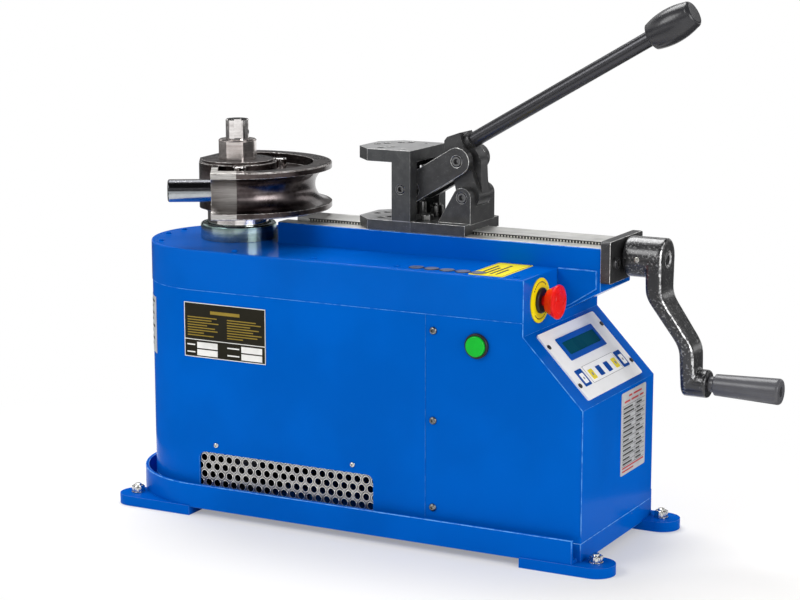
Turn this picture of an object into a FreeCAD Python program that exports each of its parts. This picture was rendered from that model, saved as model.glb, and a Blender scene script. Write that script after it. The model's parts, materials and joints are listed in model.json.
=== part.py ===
"""Electric pipe bender for the bench: a sheet-metal body with the bending spindle at its left
end, a slide bed with a screw-driven carriage, and a toggle lever that closes the counter-die jaw.

Millimetres, +Z up, floor at z = 0. X runs from the spindle end to the crank end, and the
operator stands on the -Y side. Every piece is drawn about the spindle axis (x = 0, y = 0), and
save() then moves it so that the origin is the middle of the footprint.
"""
import FreeCAD
import Part
import math
import os

V = FreeCAD.Vector
X_AXIS = V(1, 0, 0)
Y_AXIS = V(0, 1, 0)
Z_AXIS = V(0, 0, 1)

FIT = 0.05
SEAT = 0.3

BODY_HALF = 109.0
SHEET = 2.5
BODY_END_X = 519.0
SLANT_TOP_X = 444.0
SLANT_TOP_Z = 266.0
SLANT_BOTTOM_Z = 188.3
PANEL_SEAM_X = 320.5
PANEL_SEAM_GAP = 0.5
DECK_Z = 331.4
LID_BOTTOM_Z = 282.0
LID_PROUD = 0.5
LID_EDGE_R = 2.0
CASING_EDGE_R = 2.0

RIM_GAP = 14.0
RIM_WALL = 4.5
RIM_TOP_Z = 40.5
RIM_END_X = 514.0
TRAY_BOTTOM_Z = 10.0
TRAY_FLOOR = 6.0
PLINTH_TOP_Z = 34.0
PLINTH_WALL = 6.0

FOOT_HALF = 23.0
FOOT_TAB = 12.5
FOOT_OUT = 13.7
FOOT_ANGLE = 48.26
FOOT_END_OUT = 21.0
FOOT_END_IN = 65.0
FOOT_BOLT_R = 4.0
FOOT_WASHER_R = 8.5
FOOT_WASHER = 1.6
FOOT_BOLT_AF = 13.0
FOOT_BOLT_HEAD = 5.3

WINDOW_X0 = 6.5
WINDOW_X1 = 251.0
WINDOW_Z0 = 36.5
WINDOW_Z1 = 79.5
WINDOW_R = 9.0
GRILLE_SHEET = 1.5
GRILLE_LAP = 18.0
HOLE_PITCH = 12.0
HOLE_R = 4.4
HOLE_ROWS = 5
HOLE_TOP_OFFSET = 2.7
HOLE_SIDE_OFFSET = 5.8
GRILLE_SCREWS = ((31.5, 89.5), (223.4, 89.5))

BUTTON_HEAD_R = 4.2
BUTTON_HEAD = 2.4
BUTTON_SHANK_R = 2.0
BUTTON_SHANK = 6.0
CASING_SCREW_X = 330.8
CASING_SCREW_Z = (262.9, 156.1, 51.5)
DECK_SCREW_Y = 94.0
DECK_SCREW_X = (52.4, 163.8, 275.5, 428.7)
DECK_CORNER_SCREWS = ((-71.0, 68.0), (-94.0, 18.0))

STORED_PIN_R = 9.5
STORED_PIN_COUNT = 5
STORED_PIN_X = 299.0
STORED_PIN_PITCH = 20.0
STORED_PIN_Y = -90.0
STORED_PIN_LENGTH = 40.0
STORED_PIN_PROUD = 0.8

GEARBOX_HALF_X = 58.0
GEARBOX_HALF_Y = 80.0
GEARBOX_BOTTOM_Z = 150.0
GEARBOX_TOP_Z = 320.0
GEARBOX_NECK_R = 43.5
WHEEL_R = 42.0
WHEEL_WIDTH = 30.0
WHEEL_Z = 215.0
WORM_R = 13.7
WORM_Y = 56.0
WORM_LENGTH = 70.0
WORM_SHAFT_R = 9.0
MOTOR_AIR = 5.5
MOTOR_LENGTH = 190.0
MOTOR_FLANGE_R = 40.0
MOTOR_FLANGE = 12.0
BEARING_R = 42.0
BEARING_WIDTH = 22.0
LOWER_BEARING_Z = 172.0
UPPER_BEARING_Z = 285.0
PEDESTAL_HALF = 62.0
PEDESTAL_WALL = 8.0
POST_X0 = 330.0
POST_X1 = 420.0

COVER_R = 47.5
COVER_TOP_Z = 351.2
COVER_STEP_R = 41.5
COVER_STEP = 2.0
COVER_CHAMFER = 1.5
JOURNAL_R = 30.0
NECK_R = 38.5
NECK_TOP_Z = 370.5
NECK_LIP_R = 41.0
NECK_LIP = 3.0
SHAFT_R = 14.5
SHAFT_TOP_Z = 481.0
SHAFT_CHAMFER = 1.2
KEYWAY_WIDTH = 9.0
KEYWAY_DEPTH = 5.0
KEYWAY_ANGLE = -56.0
CROSS_HOLE_R = 2.5
CROSS_HOLE_ANGLE = 15.0
CROSS_HOLE_Z = 464.9

DIE_R = 118.0
DIE_HEIGHT = 57.0
DIE_TUBE_R = 21.2
DIE_TURN = 31.0
DIE_FLAT = 31.0
DIE_FLAT_TOP = 40.0
DIE_CHORD_X = 10.0
DIE_HUB_R = 48.5
DIE_BOSS_R = 45.0
DIE_BOSS_PROUD = 3.5
DIE_POCKET_R = 95.0
DIE_POCKET_DEPTH = 12.0
DIE_POCKET_RIM = 8.0
DIE_EDGE = 1.0
PIN_CIRCLE_R = 58.0
DRIVE_PIN_R = 8.5
DRIVE_PIN_ANGLES = (-56.0, 56.0)
DRIVE_PIN_LENGTH = 40.0
DRIVE_PIN_PROUD = 13.0
HOOK_R = 14.0
HOOK_Y = -58.0
HOOK_OUT = 54.0
HOOK_IN = 22.0
COLLAR_R = 23.8
COLLAR_HEIGHT = 25.0
COLLAR_FLAT = 22.6
COLLAR_FLATS = 8
COLLAR_RING = 2.5
COLLAR_CHAMFER = 1.5

BEAM_X0 = 65.5
BEAM_X1 = 498.0
BEAM_Y0 = -13.5
BEAM_Y1 = 77.5
BEAM_TOP_Z = 350.0
BEAM_INNER_Z = 282.8
BEAM_END_Z = 306.0
BEAM_ROOT_Z = 277.0
BEAM_WALL = 8.0
BEAM_POCKET_TOP_Z = 317.0
CHANNEL_Y0 = 18.0
CHANNEL_Y1 = 62.0
CHANNEL_Z = 325.0
CHANNEL_X0 = 96.0
CHANNEL_X1 = 488.0
CHEEK = 2.0
CHEEK_X1 = 493.0
CHEEK_TOP_Z = 331.0
CHEEK_CORNER_X = 462.0
CHEEK_CORNER_Z = 290.0
CHEEK_RIGHT_Z = 310.0

RAIL_TOP_Z = 357.5
RAIL_LIP = 2.5
RAIL_LIP_DROP = 0.5
FRONT_RAIL_Y1 = 10.0
GUIDE_X0 = 80.0
GUIDE_Y1 = 54.0
GUIDE_TOP_Z = 361.7
GUIDE_GROOVE = 4.5
GUIDE_SOLID_END = 16.0
TEETH_HEIGHT = 2.3
TEETH_RECESS = 1.2
TEETH_DEPTH = 1.8
TEETH_PITCH = 4.0
REAR_RAIL_Y0 = 61.5

END_PLATE = 12.0
END_PLATE_Y0 = -15.0
END_PLATE_Y1 = 85.0
END_PLATE_Z0 = 316.5
END_PLATE_Z1 = 366.0
END_PLATE_CHAMFER = 3.0
END_SCREW_SPAN = 36.0
END_SCREW_Z = 340.0
END_SCREW_R = 6.5
END_SCREW_HEAD = 5.0
END_SCREW_SHANK_R = 4.0
END_SCREW_SHANK = 24.0

SCREW_Y = 35.0
SCREW_Z = 343.5
SCREW_R = 9.0
SCREW_COLLAR_R = 10.5
SCREW_COLLAR = 12.0
JOURNAL_END_R = 5.5
NUT_LENGTH = 36.0
NUT_X = 286.0
NUT_WEB = 5.0
NUT_Z0 = 329.0

HUB_R = 24.0
HUB_X0 = 512.0
HUB_X1 = 562.0
ARM_THICK = 18.7
ARM_BEND_R = 14.0
CRANK_ROUND = 5.0
ARM_BEND_TOP_Z = 301.0
ARM_BEND_BOTTOM_Z = 245.5
ARM_RIGHT_X = 601.5
ARM_END_X = 604.0
CRANK_R = 142.5
ARM_END_R = 16.5
BOSS_R = 16.5
BOSS_X1 = 616.0
GRIP_NECK_R = 9.35
GRIP_NECK = 6.0
GRIP_SHOULDER = 1.5
GRIP_X1 = 702.0
GRIP_START_R = 12.6
GRIP_END_R = 15.2
GRIP_DOME = 2.5
GRIP_BOLT_R = 4.0
GRIP_BOLT_HEAD_R = 6.0
GRIP_BOLT_HEAD = 5.0
GRIP_BOLT_SUNK = 3.0
GRIP_BOLT_GRIP = 14.0
SET_SCREW_R = 3.0
SET_SCREW_IN = 20.0
HUB_SCREW_R = 7.5
HUB_SCREW_STEM_R = 3.5
HUB_SCREW_RECESS_R = 9.0
HUB_SCREW_RECESS = 2.0
HUB_WALL = 4.0

JAW_Y0 = -13.0
JAW_Y1 = 82.0
JAW_NOSE_X = 168.5
JAW_CHAMFER = 23.5
JAW_BACK_X = 250.0
JAW_COLUMN_X = 225.0
JAW_TOP_Z = 455.8
JAW_TOP_PLATE = 14.8
JAW_FOOT_TOP_Z = 370.3
JAW_CHEEK = 17.0
JAW_WEB = 5.5
LINK_AIR = 1.0
JAW_PIN_X = 236.8
JAW_PIN_Z = 408.9
JAW_PIN_R = 6.0
JAW_BORES = ((180.0, 34.5), (188.0, 46.0), (199.0, 61.5), (209.0, 69.5), (209.0, 15.5), (200.0, 6.5))
JAW_BORE_R = 5.0
JAW_SMALL_BORES = ((232.0, 4.5), (232.0, 64.5))
JAW_SMALL_BORE_R = 3.0
JAW_SMALL_BORE = 8.0
JAW_STUD_X = 240.0
JAW_STUD_Y = 40.0
JAW_STUD_R = 4.5
JAW_STUD_TOP_Z = 388.0

BASE_X1 = 322.9
BASE_TOP_Z = 370.8
BASE_BOLT = (261.0, 10.8)
BASE_NUT = (258.3, 41.9)
BASE_BOLT_R = 7.8
BASE_BOLT_HEAD = 7.0
BASE_NUT_HEIGHT = 14.5
BASE_STUD_R = 4.3
BASE_STUD_PROUD = 2.3
BASE_STEM_R = 3.0
BASE_STEM = 6.0
LOWER_X = 312.0
LOWER_Z = 401.9
UPPER_X = 302.7
UPPER_Z = 444.3
PIN_R = 7.0
LUG_R = 11.6
LUG_FOOT_X = 280.8
LUG_THICK = 16.0
HEAD_HALF = 17.2
HEAD_FOOT_R = 15.4
HEAD_BACK = ((-18.6, 18.7), (-31.8, 57.3), (-31.6, 65.1), (-28.0, 69.7), (-11.7, 75.5))
HEAD_RIB = ((-11.7, 75.5), (0.5, 61.1), (10.0, 50.1), (13.5, 44.1), (13.5, 37.1))
HEAD_RIB_HALF = 9.0
HEAD_RIB_ROOT = (-12.0, 28.0)
HEAD_SOCKET_WALL = 3.5
HEAD_SOCKET_SHORT = 6.0
LINK_THICK = 12.0
LINK_HALF = 16.5
LINK_HOLE_SHIFT_X = 4.39
LINK_HOLE_SHIFT_Z = -1.79
LINK_OPEN_CLEARANCE = 5.4
HEAD_SPREAD = 0.3
ROD_ANGLE = 30.0
ROD_START_X = 316.7
ROD_START_Z = 470.8
ROD_R = 9.25
ROD_IN = 22.0
ROD_SEAT = 14.0
ROD_LENGTH = 252.0
KNOB_LENGTH = 60.0
KNOB_R = 20.5
KNOB_START_R = 16.0
KNOB_END_R = 16.5
KNOB_IN = 12.0

ESTOP_Y = -65.0
ESTOP_Z = 301.3
ESTOP_DISC_R = 26.0
ESTOP_DISC = 1.5
ESTOP_COLLAR_R = 15.0
ESTOP_COLLAR = 4.0
ESTOP_SHANK_R = 11.0
ESTOP_CAP_R = 20.0
ESTOP_CAP_X1 = 471.0
ESTOP_CAP_BACK_R = 13.5
ESTOP_CAP_SKIRT = 12.0
ESTOP_CAP_ROUND = 2.6
ESTOP_CAP_CROWN = 0.6
ESTOP_AIR = 0.5
ESTOP_THREAD = 14.0
ESTOP_CONTACT = 36.0
ESTOP_CONTACT_HALF = 18.0
ESTOP_TRAVEL = 5.0
ESTOP_STEM_R = 6.0

BUTTON_X = 387.0
BUTTON_Z = 250.5
BUTTON_BEZEL_R = 14.8
BUTTON_BEZEL = 4.4
BUTTON_CAP_R = 12.0
BUTTON_CAP = 3.6
BUTTON_TRAVEL = 3.0
BUTTON_THREAD = 12.0
BUTTON_CONTACT = 34.0
BUTTON_CONTACT_HALF = 14.0

PLATE_HALF = 81.5
PLATE_S0 = 5.3
PLATE_S1 = 100.2
PLATE_THICK = 2.0
BEZEL_Y0 = -52.5
BEZEL_Y1 = 50.7
BEZEL_S0 = 18.8
BEZEL_S1 = 50.0
BEZEL_THICK = 1.6
LCD_Y0 = -45.5
LCD_Y1 = 44.5
LCD_S0 = 25.7
LCD_S1 = 43.0
END_KEY_S = 73.5
END_KEY_LENGTH = 22.6
END_KEY_WIDTH = 17.0
END_KEY_YS = (-57.0, 58.0)
KEY_S = 74.7
KEY_LENGTH = 13.2
KEY_WIDTH = 11.0
KEY_YS = (-31.3, -8.9, 14.3, 37.0)
KEY_THICK = 0.8
KEY_CORNER_R = 1.0
PANEL_SCREW_Y = 77.0
PANEL_SCREW_S = (24.3, 80.8)
PANEL_SCREW_R = 3.0
PANEL_SCREW_HEAD = 1.4
PANEL_SHANK_R = 1.6

CONTROL_X0 = 440.0
CONTROL_X1 = 500.0
CONTROL_HALF = 85.0
CONTROL_TOP_Z = 150.0

RIM_HALF = BODY_HALF + RIM_GAP
FOOT_Y = (RIM_HALF + FOOT_OUT) * math.sin(math.radians(FOOT_ANGLE))
LEFT_FOOT_X = -(RIM_HALF + FOOT_OUT) * math.cos(math.radians(FOOT_ANGLE))
RIGHT_FOOT_X = RIM_END_X + FOOT_END_OUT
MOTOR_R = BODY_HALF - SHEET - MOTOR_AIR - WORM_Y
DIE_TOP_Z = NECK_TOP_Z + DIE_HEIGHT
DIE_MID_Z = NECK_TOP_Z + DIE_HEIGHT / 2
HUB_TOP_Z = DIE_TOP_Z + DIE_BOSS_PROUD
LID_X1 = SLANT_TOP_X + LID_PROUD
TRAY_FLOOR_Z = TRAY_BOTTOM_Z + TRAY_FLOOR
CRANK_PIN_Z = SCREW_Z - CRANK_R
LEVER_MID_Y = (JAW_Y0 + JAW_Y1) / 2
SLANT_ANGLE = math.degrees(math.atan2(SLANT_TOP_Z - SLANT_BOTTOM_Z, BODY_END_X - SLANT_TOP_X))
ORIGIN_X = (GRIP_X1 - RIM_HALF) / 2


def box(x0, x1, y0, y1, z0, z1):
    return Part.makeBox(x1 - x0, y1 - y0, z1 - z0, V(x0, y0, z0))


def rod(radius, start, direction, length):
    return Part.makeCylinder(radius, length, V(*start), direction)


def upright(radius, x, y, z0, z1):
    return rod(radius, (x, y, z0), Z_AXIS, z1 - z0)


def across(radius, x, z, y0, y1):
    return rod(radius, (x, y0, z), Y_AXIS, y1 - y0)


def along(radius, y, z, x0, x1):
    return rod(radius, (x0, y, z), X_AXIS, x1 - x0)


def face_of(points):
    """A face on straight edges through the points, closed back to the first."""
    return Part.Face(Part.makePolygon([V(*p) for p in points] + [V(*points[0])]))


def plan(points, z0, z1):
    """A plan outline in X and Y, raised from z0 to z1."""
    return face_of([(x, y, z0) for x, y in points]).extrude(V(0, 0, z1 - z0))


def side(points, y0, y1):
    """A side outline in X and Z, drawn out from y0 to y1."""
    return face_of([(x, y0, z) for x, z in points]).extrude(V(0, y1 - y0, 0))


def end_on(points, x0, x1):
    """An end outline in Y and Z, drawn out from x0 to x1."""
    return face_of([(x0, y, z) for y, z in points]).extrude(V(x1 - x0, 0, 0))


def turned(profile, centre, axis, away):
    """A turned piece: profile is (distance along the axis, radius) from the centre outwards."""
    points = [centre + axis * t + away * r for t, r in profile]
    face = Part.Face(Part.makePolygon(points + [points[0]]))
    return face.revolve(centre, axis, 360)


def bullet(half, x1, z0, z1):
    """The body's plan: a half circle about the spindle at the left and straight sides to x1."""
    tip = V(-half, 0, z0)
    left = V(0, half, z0)
    right = V(0, -half, z0)
    edges = [
        Part.LineSegment(right, V(x1, -half, z0)).toShape(),
        Part.LineSegment(V(x1, -half, z0), V(x1, half, z0)).toShape(),
        Part.LineSegment(V(x1, half, z0), left).toShape(),
        Part.Arc(left, tip, right).toShape(),
    ]
    return Part.Face(Part.Wire(edges)).extrude(V(0, 0, z1 - z0))


def fused(shapes):
    return shapes[0].multiFuse(shapes[1:]).removeSplitter()


def grouped(shapes):
    return Part.makeCompound(shapes)


def hexagon(x, y, z0, z1, across_flats):
    radius = across_flats / math.sqrt(3)
    turns = [math.radians(60 * i + 15) for i in range(6)]
    points = [(x + radius * math.cos(t), y + radius * math.sin(t)) for t in turns]
    return plan(points, z0, z1)


def button_screw(point, outwards):
    """A button-head screw: a domed head on the surface at the point, and its shank inwards."""
    head = Part.makeCylinder(BUTTON_HEAD_R, BUTTON_HEAD * 0.55, point, outwards)
    crown = Part.makeCone(BUTTON_HEAD_R, BUTTON_HEAD_R * 0.55, BUTTON_HEAD * 0.45,
                          point + outwards * (BUTTON_HEAD * 0.55), outwards)
    shank = Part.makeCylinder(BUTTON_SHANK_R, BUTTON_SHANK, point - outwards * BUTTON_SHANK, outwards)
    return fused([head, crown, shank])


def screw_holes(points, outwards):
    """The holes that the button screws' shanks pass through."""
    depth = BUTTON_SHANK + 2
    return [Part.makeCylinder(BUTTON_SHANK_R + FIT, depth, p - outwards * (depth - 1), outwards)
            for p in points]


def grille_screw_points():
    return [V(x, -BODY_HALF, z) for x, z in GRILLE_SCREWS]


def casing_screw_points():
    return [V(CASING_SCREW_X, -BODY_HALF, z) for z in CASING_SCREW_Z]


def deck_screw_points():
    front = [V(x, -DECK_SCREW_Y, DECK_Z) for x in DECK_SCREW_X]
    rear = [V(x, DECK_SCREW_Y, DECK_Z) for x in DECK_SCREW_X]
    round_end = [V(x, sign * y, DECK_Z) for x, y in DECK_CORNER_SCREWS for sign in (-1, 1)]
    return front + rear + round_end


def feet():
    """Middle of each foot bolt, with the far end of its foot under the tray."""
    pairs = ((LEFT_FOOT_X, 0), (RIGHT_FOOT_X, RIM_END_X - FOOT_END_IN))
    return [(x, sign * FOOT_Y, end) for x, end in pairs for sign in (-1, 1)]


def base_tray():
    floor = bullet(RIM_HALF, RIM_END_X, TRAY_BOTTOM_Z, TRAY_FLOOR_Z)
    sill = box(RIM_END_X - 1, BODY_END_X, -BODY_HALF, BODY_HALF, TRAY_BOTTOM_Z, TRAY_FLOOR_Z)
    rim = bullet(RIM_HALF, RIM_END_X, TRAY_BOTTOM_Z, RIM_TOP_Z)
    inside = bullet(RIM_HALF - RIM_WALL, RIM_END_X + 1, TRAY_FLOOR_Z, RIM_TOP_Z + 1)
    rim = rim.cut(inside)
    plinth = bullet(BODY_HALF, BODY_END_X, TRAY_BOTTOM_Z, PLINTH_TOP_Z)
    well = bullet(BODY_HALF - PLINTH_WALL, BODY_END_X - PLINTH_WALL, TRAY_FLOOR_Z, PLINTH_TOP_Z + 1)
    plinth = plinth.cut(well)
    return fused([floor, sill, rim, plinth])


def foot_lugs():
    """Four welded lugs: each runs under the tray and ends in a round eye for its bolt."""
    tray = base_tray()
    lugs = []
    for x, y, end in feet():
        low, high = sorted((x, end))
        bar = box(low, high, y - FOOT_HALF, y + FOOT_HALF, 0, FOOT_TAB)
        lug = bar.fuse(upright(FOOT_HALF, x, y, 0, FOOT_TAB)).removeSplitter()
        lugs.append(lug.cut(tray).cut(upright(FOOT_BOLT_R + FIT, x, y, -1, FOOT_TAB + 1)))
    return grouped(lugs)


def foot_bolts():
    bolts = []
    for x, y, _ in feet():
        head_z = FOOT_TAB + FOOT_WASHER
        head = hexagon(x, y, head_z, head_z + FOOT_BOLT_HEAD, FOOT_BOLT_AF)
        bolts.append(fused([head, upright(FOOT_BOLT_R, x, y, 1, head_z)]))
    return grouped(bolts)


def foot_washers():
    rings = []
    for x, y, _ in feet():
        ring = upright(FOOT_WASHER_R, x, y, FOOT_TAB, FOOT_TAB + FOOT_WASHER)
        rings.append(ring.cut(upright(FOOT_BOLT_R + FIT, x, y, 0, FOOT_TAB + 3)))
    return grouped(rings)


def window_shape(y0, y1):
    """The grille window: upright sides and rounded top corners."""
    corners = [(WINDOW_X0 + WINDOW_R, 1), (WINDOW_X1 - WINDOW_R, -1)]
    low = box(WINDOW_X0, WINDOW_X1, y0, y1, WINDOW_Z0, WINDOW_Z1 - WINDOW_R)
    top = box(corners[0][0], corners[1][0], y0, y1, WINDOW_Z0, WINDOW_Z1)
    rounds = [across(WINDOW_R, x, WINDOW_Z1 - WINDOW_R, y0, y1) for x, _ in corners]
    return fused([low, top] + rounds)


def casing_main():
    outer = bullet(BODY_HALF, PANEL_SEAM_X, PLINTH_TOP_Z, LID_BOTTOM_Z)
    inner = bullet(BODY_HALF - SHEET, PANEL_SEAM_X + 1, PLINTH_TOP_Z - 1, LID_BOTTOM_Z + 1)
    wall = outer.cut(inner)
    cuts = [window_shape(-BODY_HALF - 1, -BODY_HALF + SHEET + 1)]
    cuts += screw_holes(grille_screw_points(), V(0, -1, 0))
    return wall.cut(grouped(cuts))


def casing_end():
    x0 = PANEL_SEAM_X + PANEL_SEAM_GAP
    outer = side([(x0, PLINTH_TOP_Z), (BODY_END_X, PLINTH_TOP_Z), (BODY_END_X, SLANT_BOTTOM_Z),
                  (SLANT_TOP_X, SLANT_TOP_Z), (SLANT_TOP_X, LID_BOTTOM_Z), (x0, LID_BOTTOM_Z)],
                 -BODY_HALF, BODY_HALF)
    end_edges = [e for e in outer.Edges if e.BoundBox.XMin > x0 + 1
                 and abs(e.BoundBox.YLength) < 1e-6]
    outer = outer.makeFillet(CASING_EDGE_R, end_edges)
    drop = SHEET * math.tan(math.radians(SLANT_ANGLE) / 2)
    inner = side([(x0 - 1, PLINTH_TOP_Z - 1), (BODY_END_X - SHEET, PLINTH_TOP_Z - 1),
                  (BODY_END_X - SHEET, SLANT_BOTTOM_Z - drop),
                  (SLANT_TOP_X - SHEET, SLANT_TOP_Z - drop),
                  (SLANT_TOP_X - SHEET, LID_BOTTOM_Z + 1), (x0 - 1, LID_BOTTOM_Z + 1)],
                 -BODY_HALF + SHEET, BODY_HALF - SHEET)
    wall = outer.cut(inner)
    cuts = screw_holes(casing_screw_points(), V(0, -1, 0))
    cuts.append(across(ESTOP_SHANK_R + FIT, BUTTON_X, BUTTON_Z, -BODY_HALF - 1, -BODY_HALF + SHEET + 1))
    return wall.cut(grouped(cuts))


def top_cover():
    outer = bullet(BODY_HALF + LID_PROUD, LID_X1, LID_BOTTOM_Z, DECK_Z)
    rim = [e for e in outer.Edges if e.BoundBox.ZMin > DECK_Z - 1e-6]
    outer = outer.makeFillet(LID_EDGE_R, rim)
    inner = bullet(BODY_HALF - SHEET, SLANT_TOP_X - SHEET, LID_BOTTOM_Z - 1, DECK_Z - SHEET)
    lid = outer.cut(inner)
    gap = 0.5
    cuts = [box(BEAM_X0 - gap, LID_X1 + 1, BEAM_Y0 - gap, BEAM_Y1 + gap, LID_BOTTOM_Z - 1, DECK_Z + 1)]
    cuts.append(upright(GEARBOX_NECK_R + gap, 0, 0, LID_BOTTOM_Z, DECK_Z + 1))
    cuts += screw_holes(deck_screw_points(), Z_AXIS)
    cuts += [upright(STORED_PIN_R + FIT, x, STORED_PIN_Y, LID_BOTTOM_Z, DECK_Z + 1) for x in pin_places()]
    cuts.append(along(ESTOP_SHANK_R + FIT, ESTOP_Y, ESTOP_Z, SLANT_TOP_X - SHEET - 1, LID_X1 + 1))
    return lid.cut(grouped(cuts))


def pin_places():
    return [STORED_PIN_X + STORED_PIN_PITCH * i for i in range(STORED_PIN_COUNT)]


def stored_pins():
    top = DECK_Z + STORED_PIN_PROUD
    return grouped([upright(STORED_PIN_R, x, STORED_PIN_Y, top - STORED_PIN_LENGTH, top)
                    for x in pin_places()])


def grille_rows():
    """Hole centres on staggered rows, spaced as the corners of equal triangles. The outer holes
    are cut off from view by the window's edges."""
    rise = HOLE_PITCH * math.sqrt(3) / 2
    places = []
    for row in range(HOLE_ROWS):
        z = WINDOW_Z1 + HOLE_TOP_OFFSET - rise * row
        x = WINDOW_X0 + HOLE_SIDE_OFFSET - (1 - row % 2) * HOLE_PITCH / 2
        while x - HOLE_R < WINDOW_X1:
            places.append((x, z))
            x += HOLE_PITCH
    return places


def grille_sheet():
    y0 = -BODY_HALF + SHEET
    y1 = y0 + GRILLE_SHEET
    sheet = box(WINDOW_X0 - GRILLE_LAP / 3, WINDOW_X1 + GRILLE_LAP / 3, y0, y1,
                PLINTH_TOP_Z, WINDOW_Z1 + GRILLE_LAP)
    holes = [across(HOLE_R, x, z, y0 - 1, y1 + 1) for x, z in grille_rows()]
    holes += screw_holes(grille_screw_points(), V(0, -1, 0))
    return sheet.cut(grouped(holes))


def grille_screws():
    return grouped([button_screw(p, V(0, -1, 0)) for p in grille_screw_points()])


def casing_screws():
    return grouped([button_screw(p, V(0, -1, 0)) for p in casing_screw_points()])


def deck_screws():
    return grouped([button_screw(p, Z_AXIS) for p in deck_screw_points()])


def inner_frame():
    """A box-section pedestal under the gearbox and a post under the slide bed."""
    half = PEDESTAL_HALF
    inside = half - PEDESTAL_WALL
    pedestal = box(-half, half, -half, half, TRAY_FLOOR_Z, GEARBOX_BOTTOM_Z)
    room = box(-inside, inside, -inside, inside, TRAY_FLOOR_Z - 1, GEARBOX_BOTTOM_Z - PEDESTAL_WALL)
    pedestal = pedestal.cut(room)
    post = box(POST_X0, POST_X1, BEAM_Y0, BEAM_Y1, TRAY_FLOOR_Z, BEAM_INNER_Z)
    post = post.cut(box(POST_X0 + PEDESTAL_WALL, POST_X1 - PEDESTAL_WALL, BEAM_Y0 + PEDESTAL_WALL,
                        BEAM_Y1 - PEDESTAL_WALL, TRAY_FLOOR_Z - 1, BEAM_INNER_Z + 1))
    return grouped([pedestal, post])


def gearbox_housing():
    block = box(-GEARBOX_HALF_X, GEARBOX_HALF_X, -GEARBOX_HALF_Y, GEARBOX_HALF_Y,
                GEARBOX_BOTTOM_Z, GEARBOX_TOP_Z)
    neck = upright(GEARBOX_NECK_R, 0, 0, GEARBOX_TOP_Z - 1, DECK_Z)
    block = fused([block, neck])
    half = WHEEL_WIDTH / 2
    cuts = [upright(JOURNAL_R + 3, 0, 0, LOWER_BEARING_Z, DECK_Z + 1)]
    cuts += [upright(BEARING_R, 0, 0, z - BEARING_WIDTH / 2, z + BEARING_WIDTH / 2)
             for z in (LOWER_BEARING_Z, UPPER_BEARING_Z)]
    cuts.append(upright(WHEEL_R + 2, 0, 0, WHEEL_Z - half - 2, WHEEL_Z + half + 2))
    cuts.append(along(WORM_R + 2, WORM_Y, WHEEL_Z, -WORM_LENGTH / 2 - 2, WORM_LENGTH / 2 + 2))
    cuts.append(along(WORM_SHAFT_R + FIT, WORM_Y, WHEEL_Z, -GEARBOX_HALF_X + 6, GEARBOX_HALF_X + 1))
    return block.cut(fused(cuts))


def spindle_bearings():
    rings = []
    for z in (LOWER_BEARING_Z, UPPER_BEARING_Z):
        ring = upright(BEARING_R, 0, 0, z - BEARING_WIDTH / 2, z + BEARING_WIDTH / 2)
        rings.append(ring.cut(upright(JOURNAL_R + FIT, 0, 0, z - BEARING_WIDTH, z + BEARING_WIDTH)))
    return grouped(rings)


def worm_wheel():
    half = WHEEL_WIDTH / 2
    disc = upright(WHEEL_R, 0, 0, WHEEL_Z - half, WHEEL_Z + half)
    throat = Part.makeTorus(WORM_Y, WORM_R + SEAT, V(0, 0, WHEEL_Z), Z_AXIS)
    bore = upright(JOURNAL_R, 0, 0, WHEEL_Z - WHEEL_WIDTH, WHEEL_Z + WHEEL_WIDTH)
    return disc.cut(throat).cut(bore)


def worm_shaft():
    worm = along(WORM_R, WORM_Y, WHEEL_Z, -WORM_LENGTH / 2, WORM_LENGTH / 2)
    shaft = along(WORM_SHAFT_R, WORM_Y, WHEEL_Z, -GEARBOX_HALF_X + 6 + SEAT, GEARBOX_HALF_X + 26)
    return fused([worm, shaft])


def motor():
    x0 = GEARBOX_HALF_X
    flange = along(MOTOR_FLANGE_R, WORM_Y, WHEEL_Z, x0, x0 + MOTOR_FLANGE)
    shell = along(MOTOR_R, WORM_Y, WHEEL_Z, x0 + MOTOR_FLANGE, x0 + MOTOR_LENGTH)
    bore = along(WORM_SHAFT_R + FIT, WORM_Y, WHEEL_Z, x0 - 1, x0 + 27)
    return fused([flange, shell]).cut(bore)


def bearing_cover():
    profile = [(0, JOURNAL_R + FIT), (0, COVER_R), (COVER_TOP_Z - DECK_Z - COVER_CHAMFER, COVER_R),
               (COVER_TOP_Z - DECK_Z, COVER_R - COVER_CHAMFER),
               (COVER_TOP_Z - DECK_Z, COVER_STEP_R), (COVER_TOP_Z - DECK_Z - COVER_STEP, COVER_STEP_R),
               (COVER_TOP_Z - DECK_Z - COVER_STEP, JOURNAL_R + FIT)]
    return turned(profile, V(0, 0, DECK_Z), Z_AXIS, X_AXIS)


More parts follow.
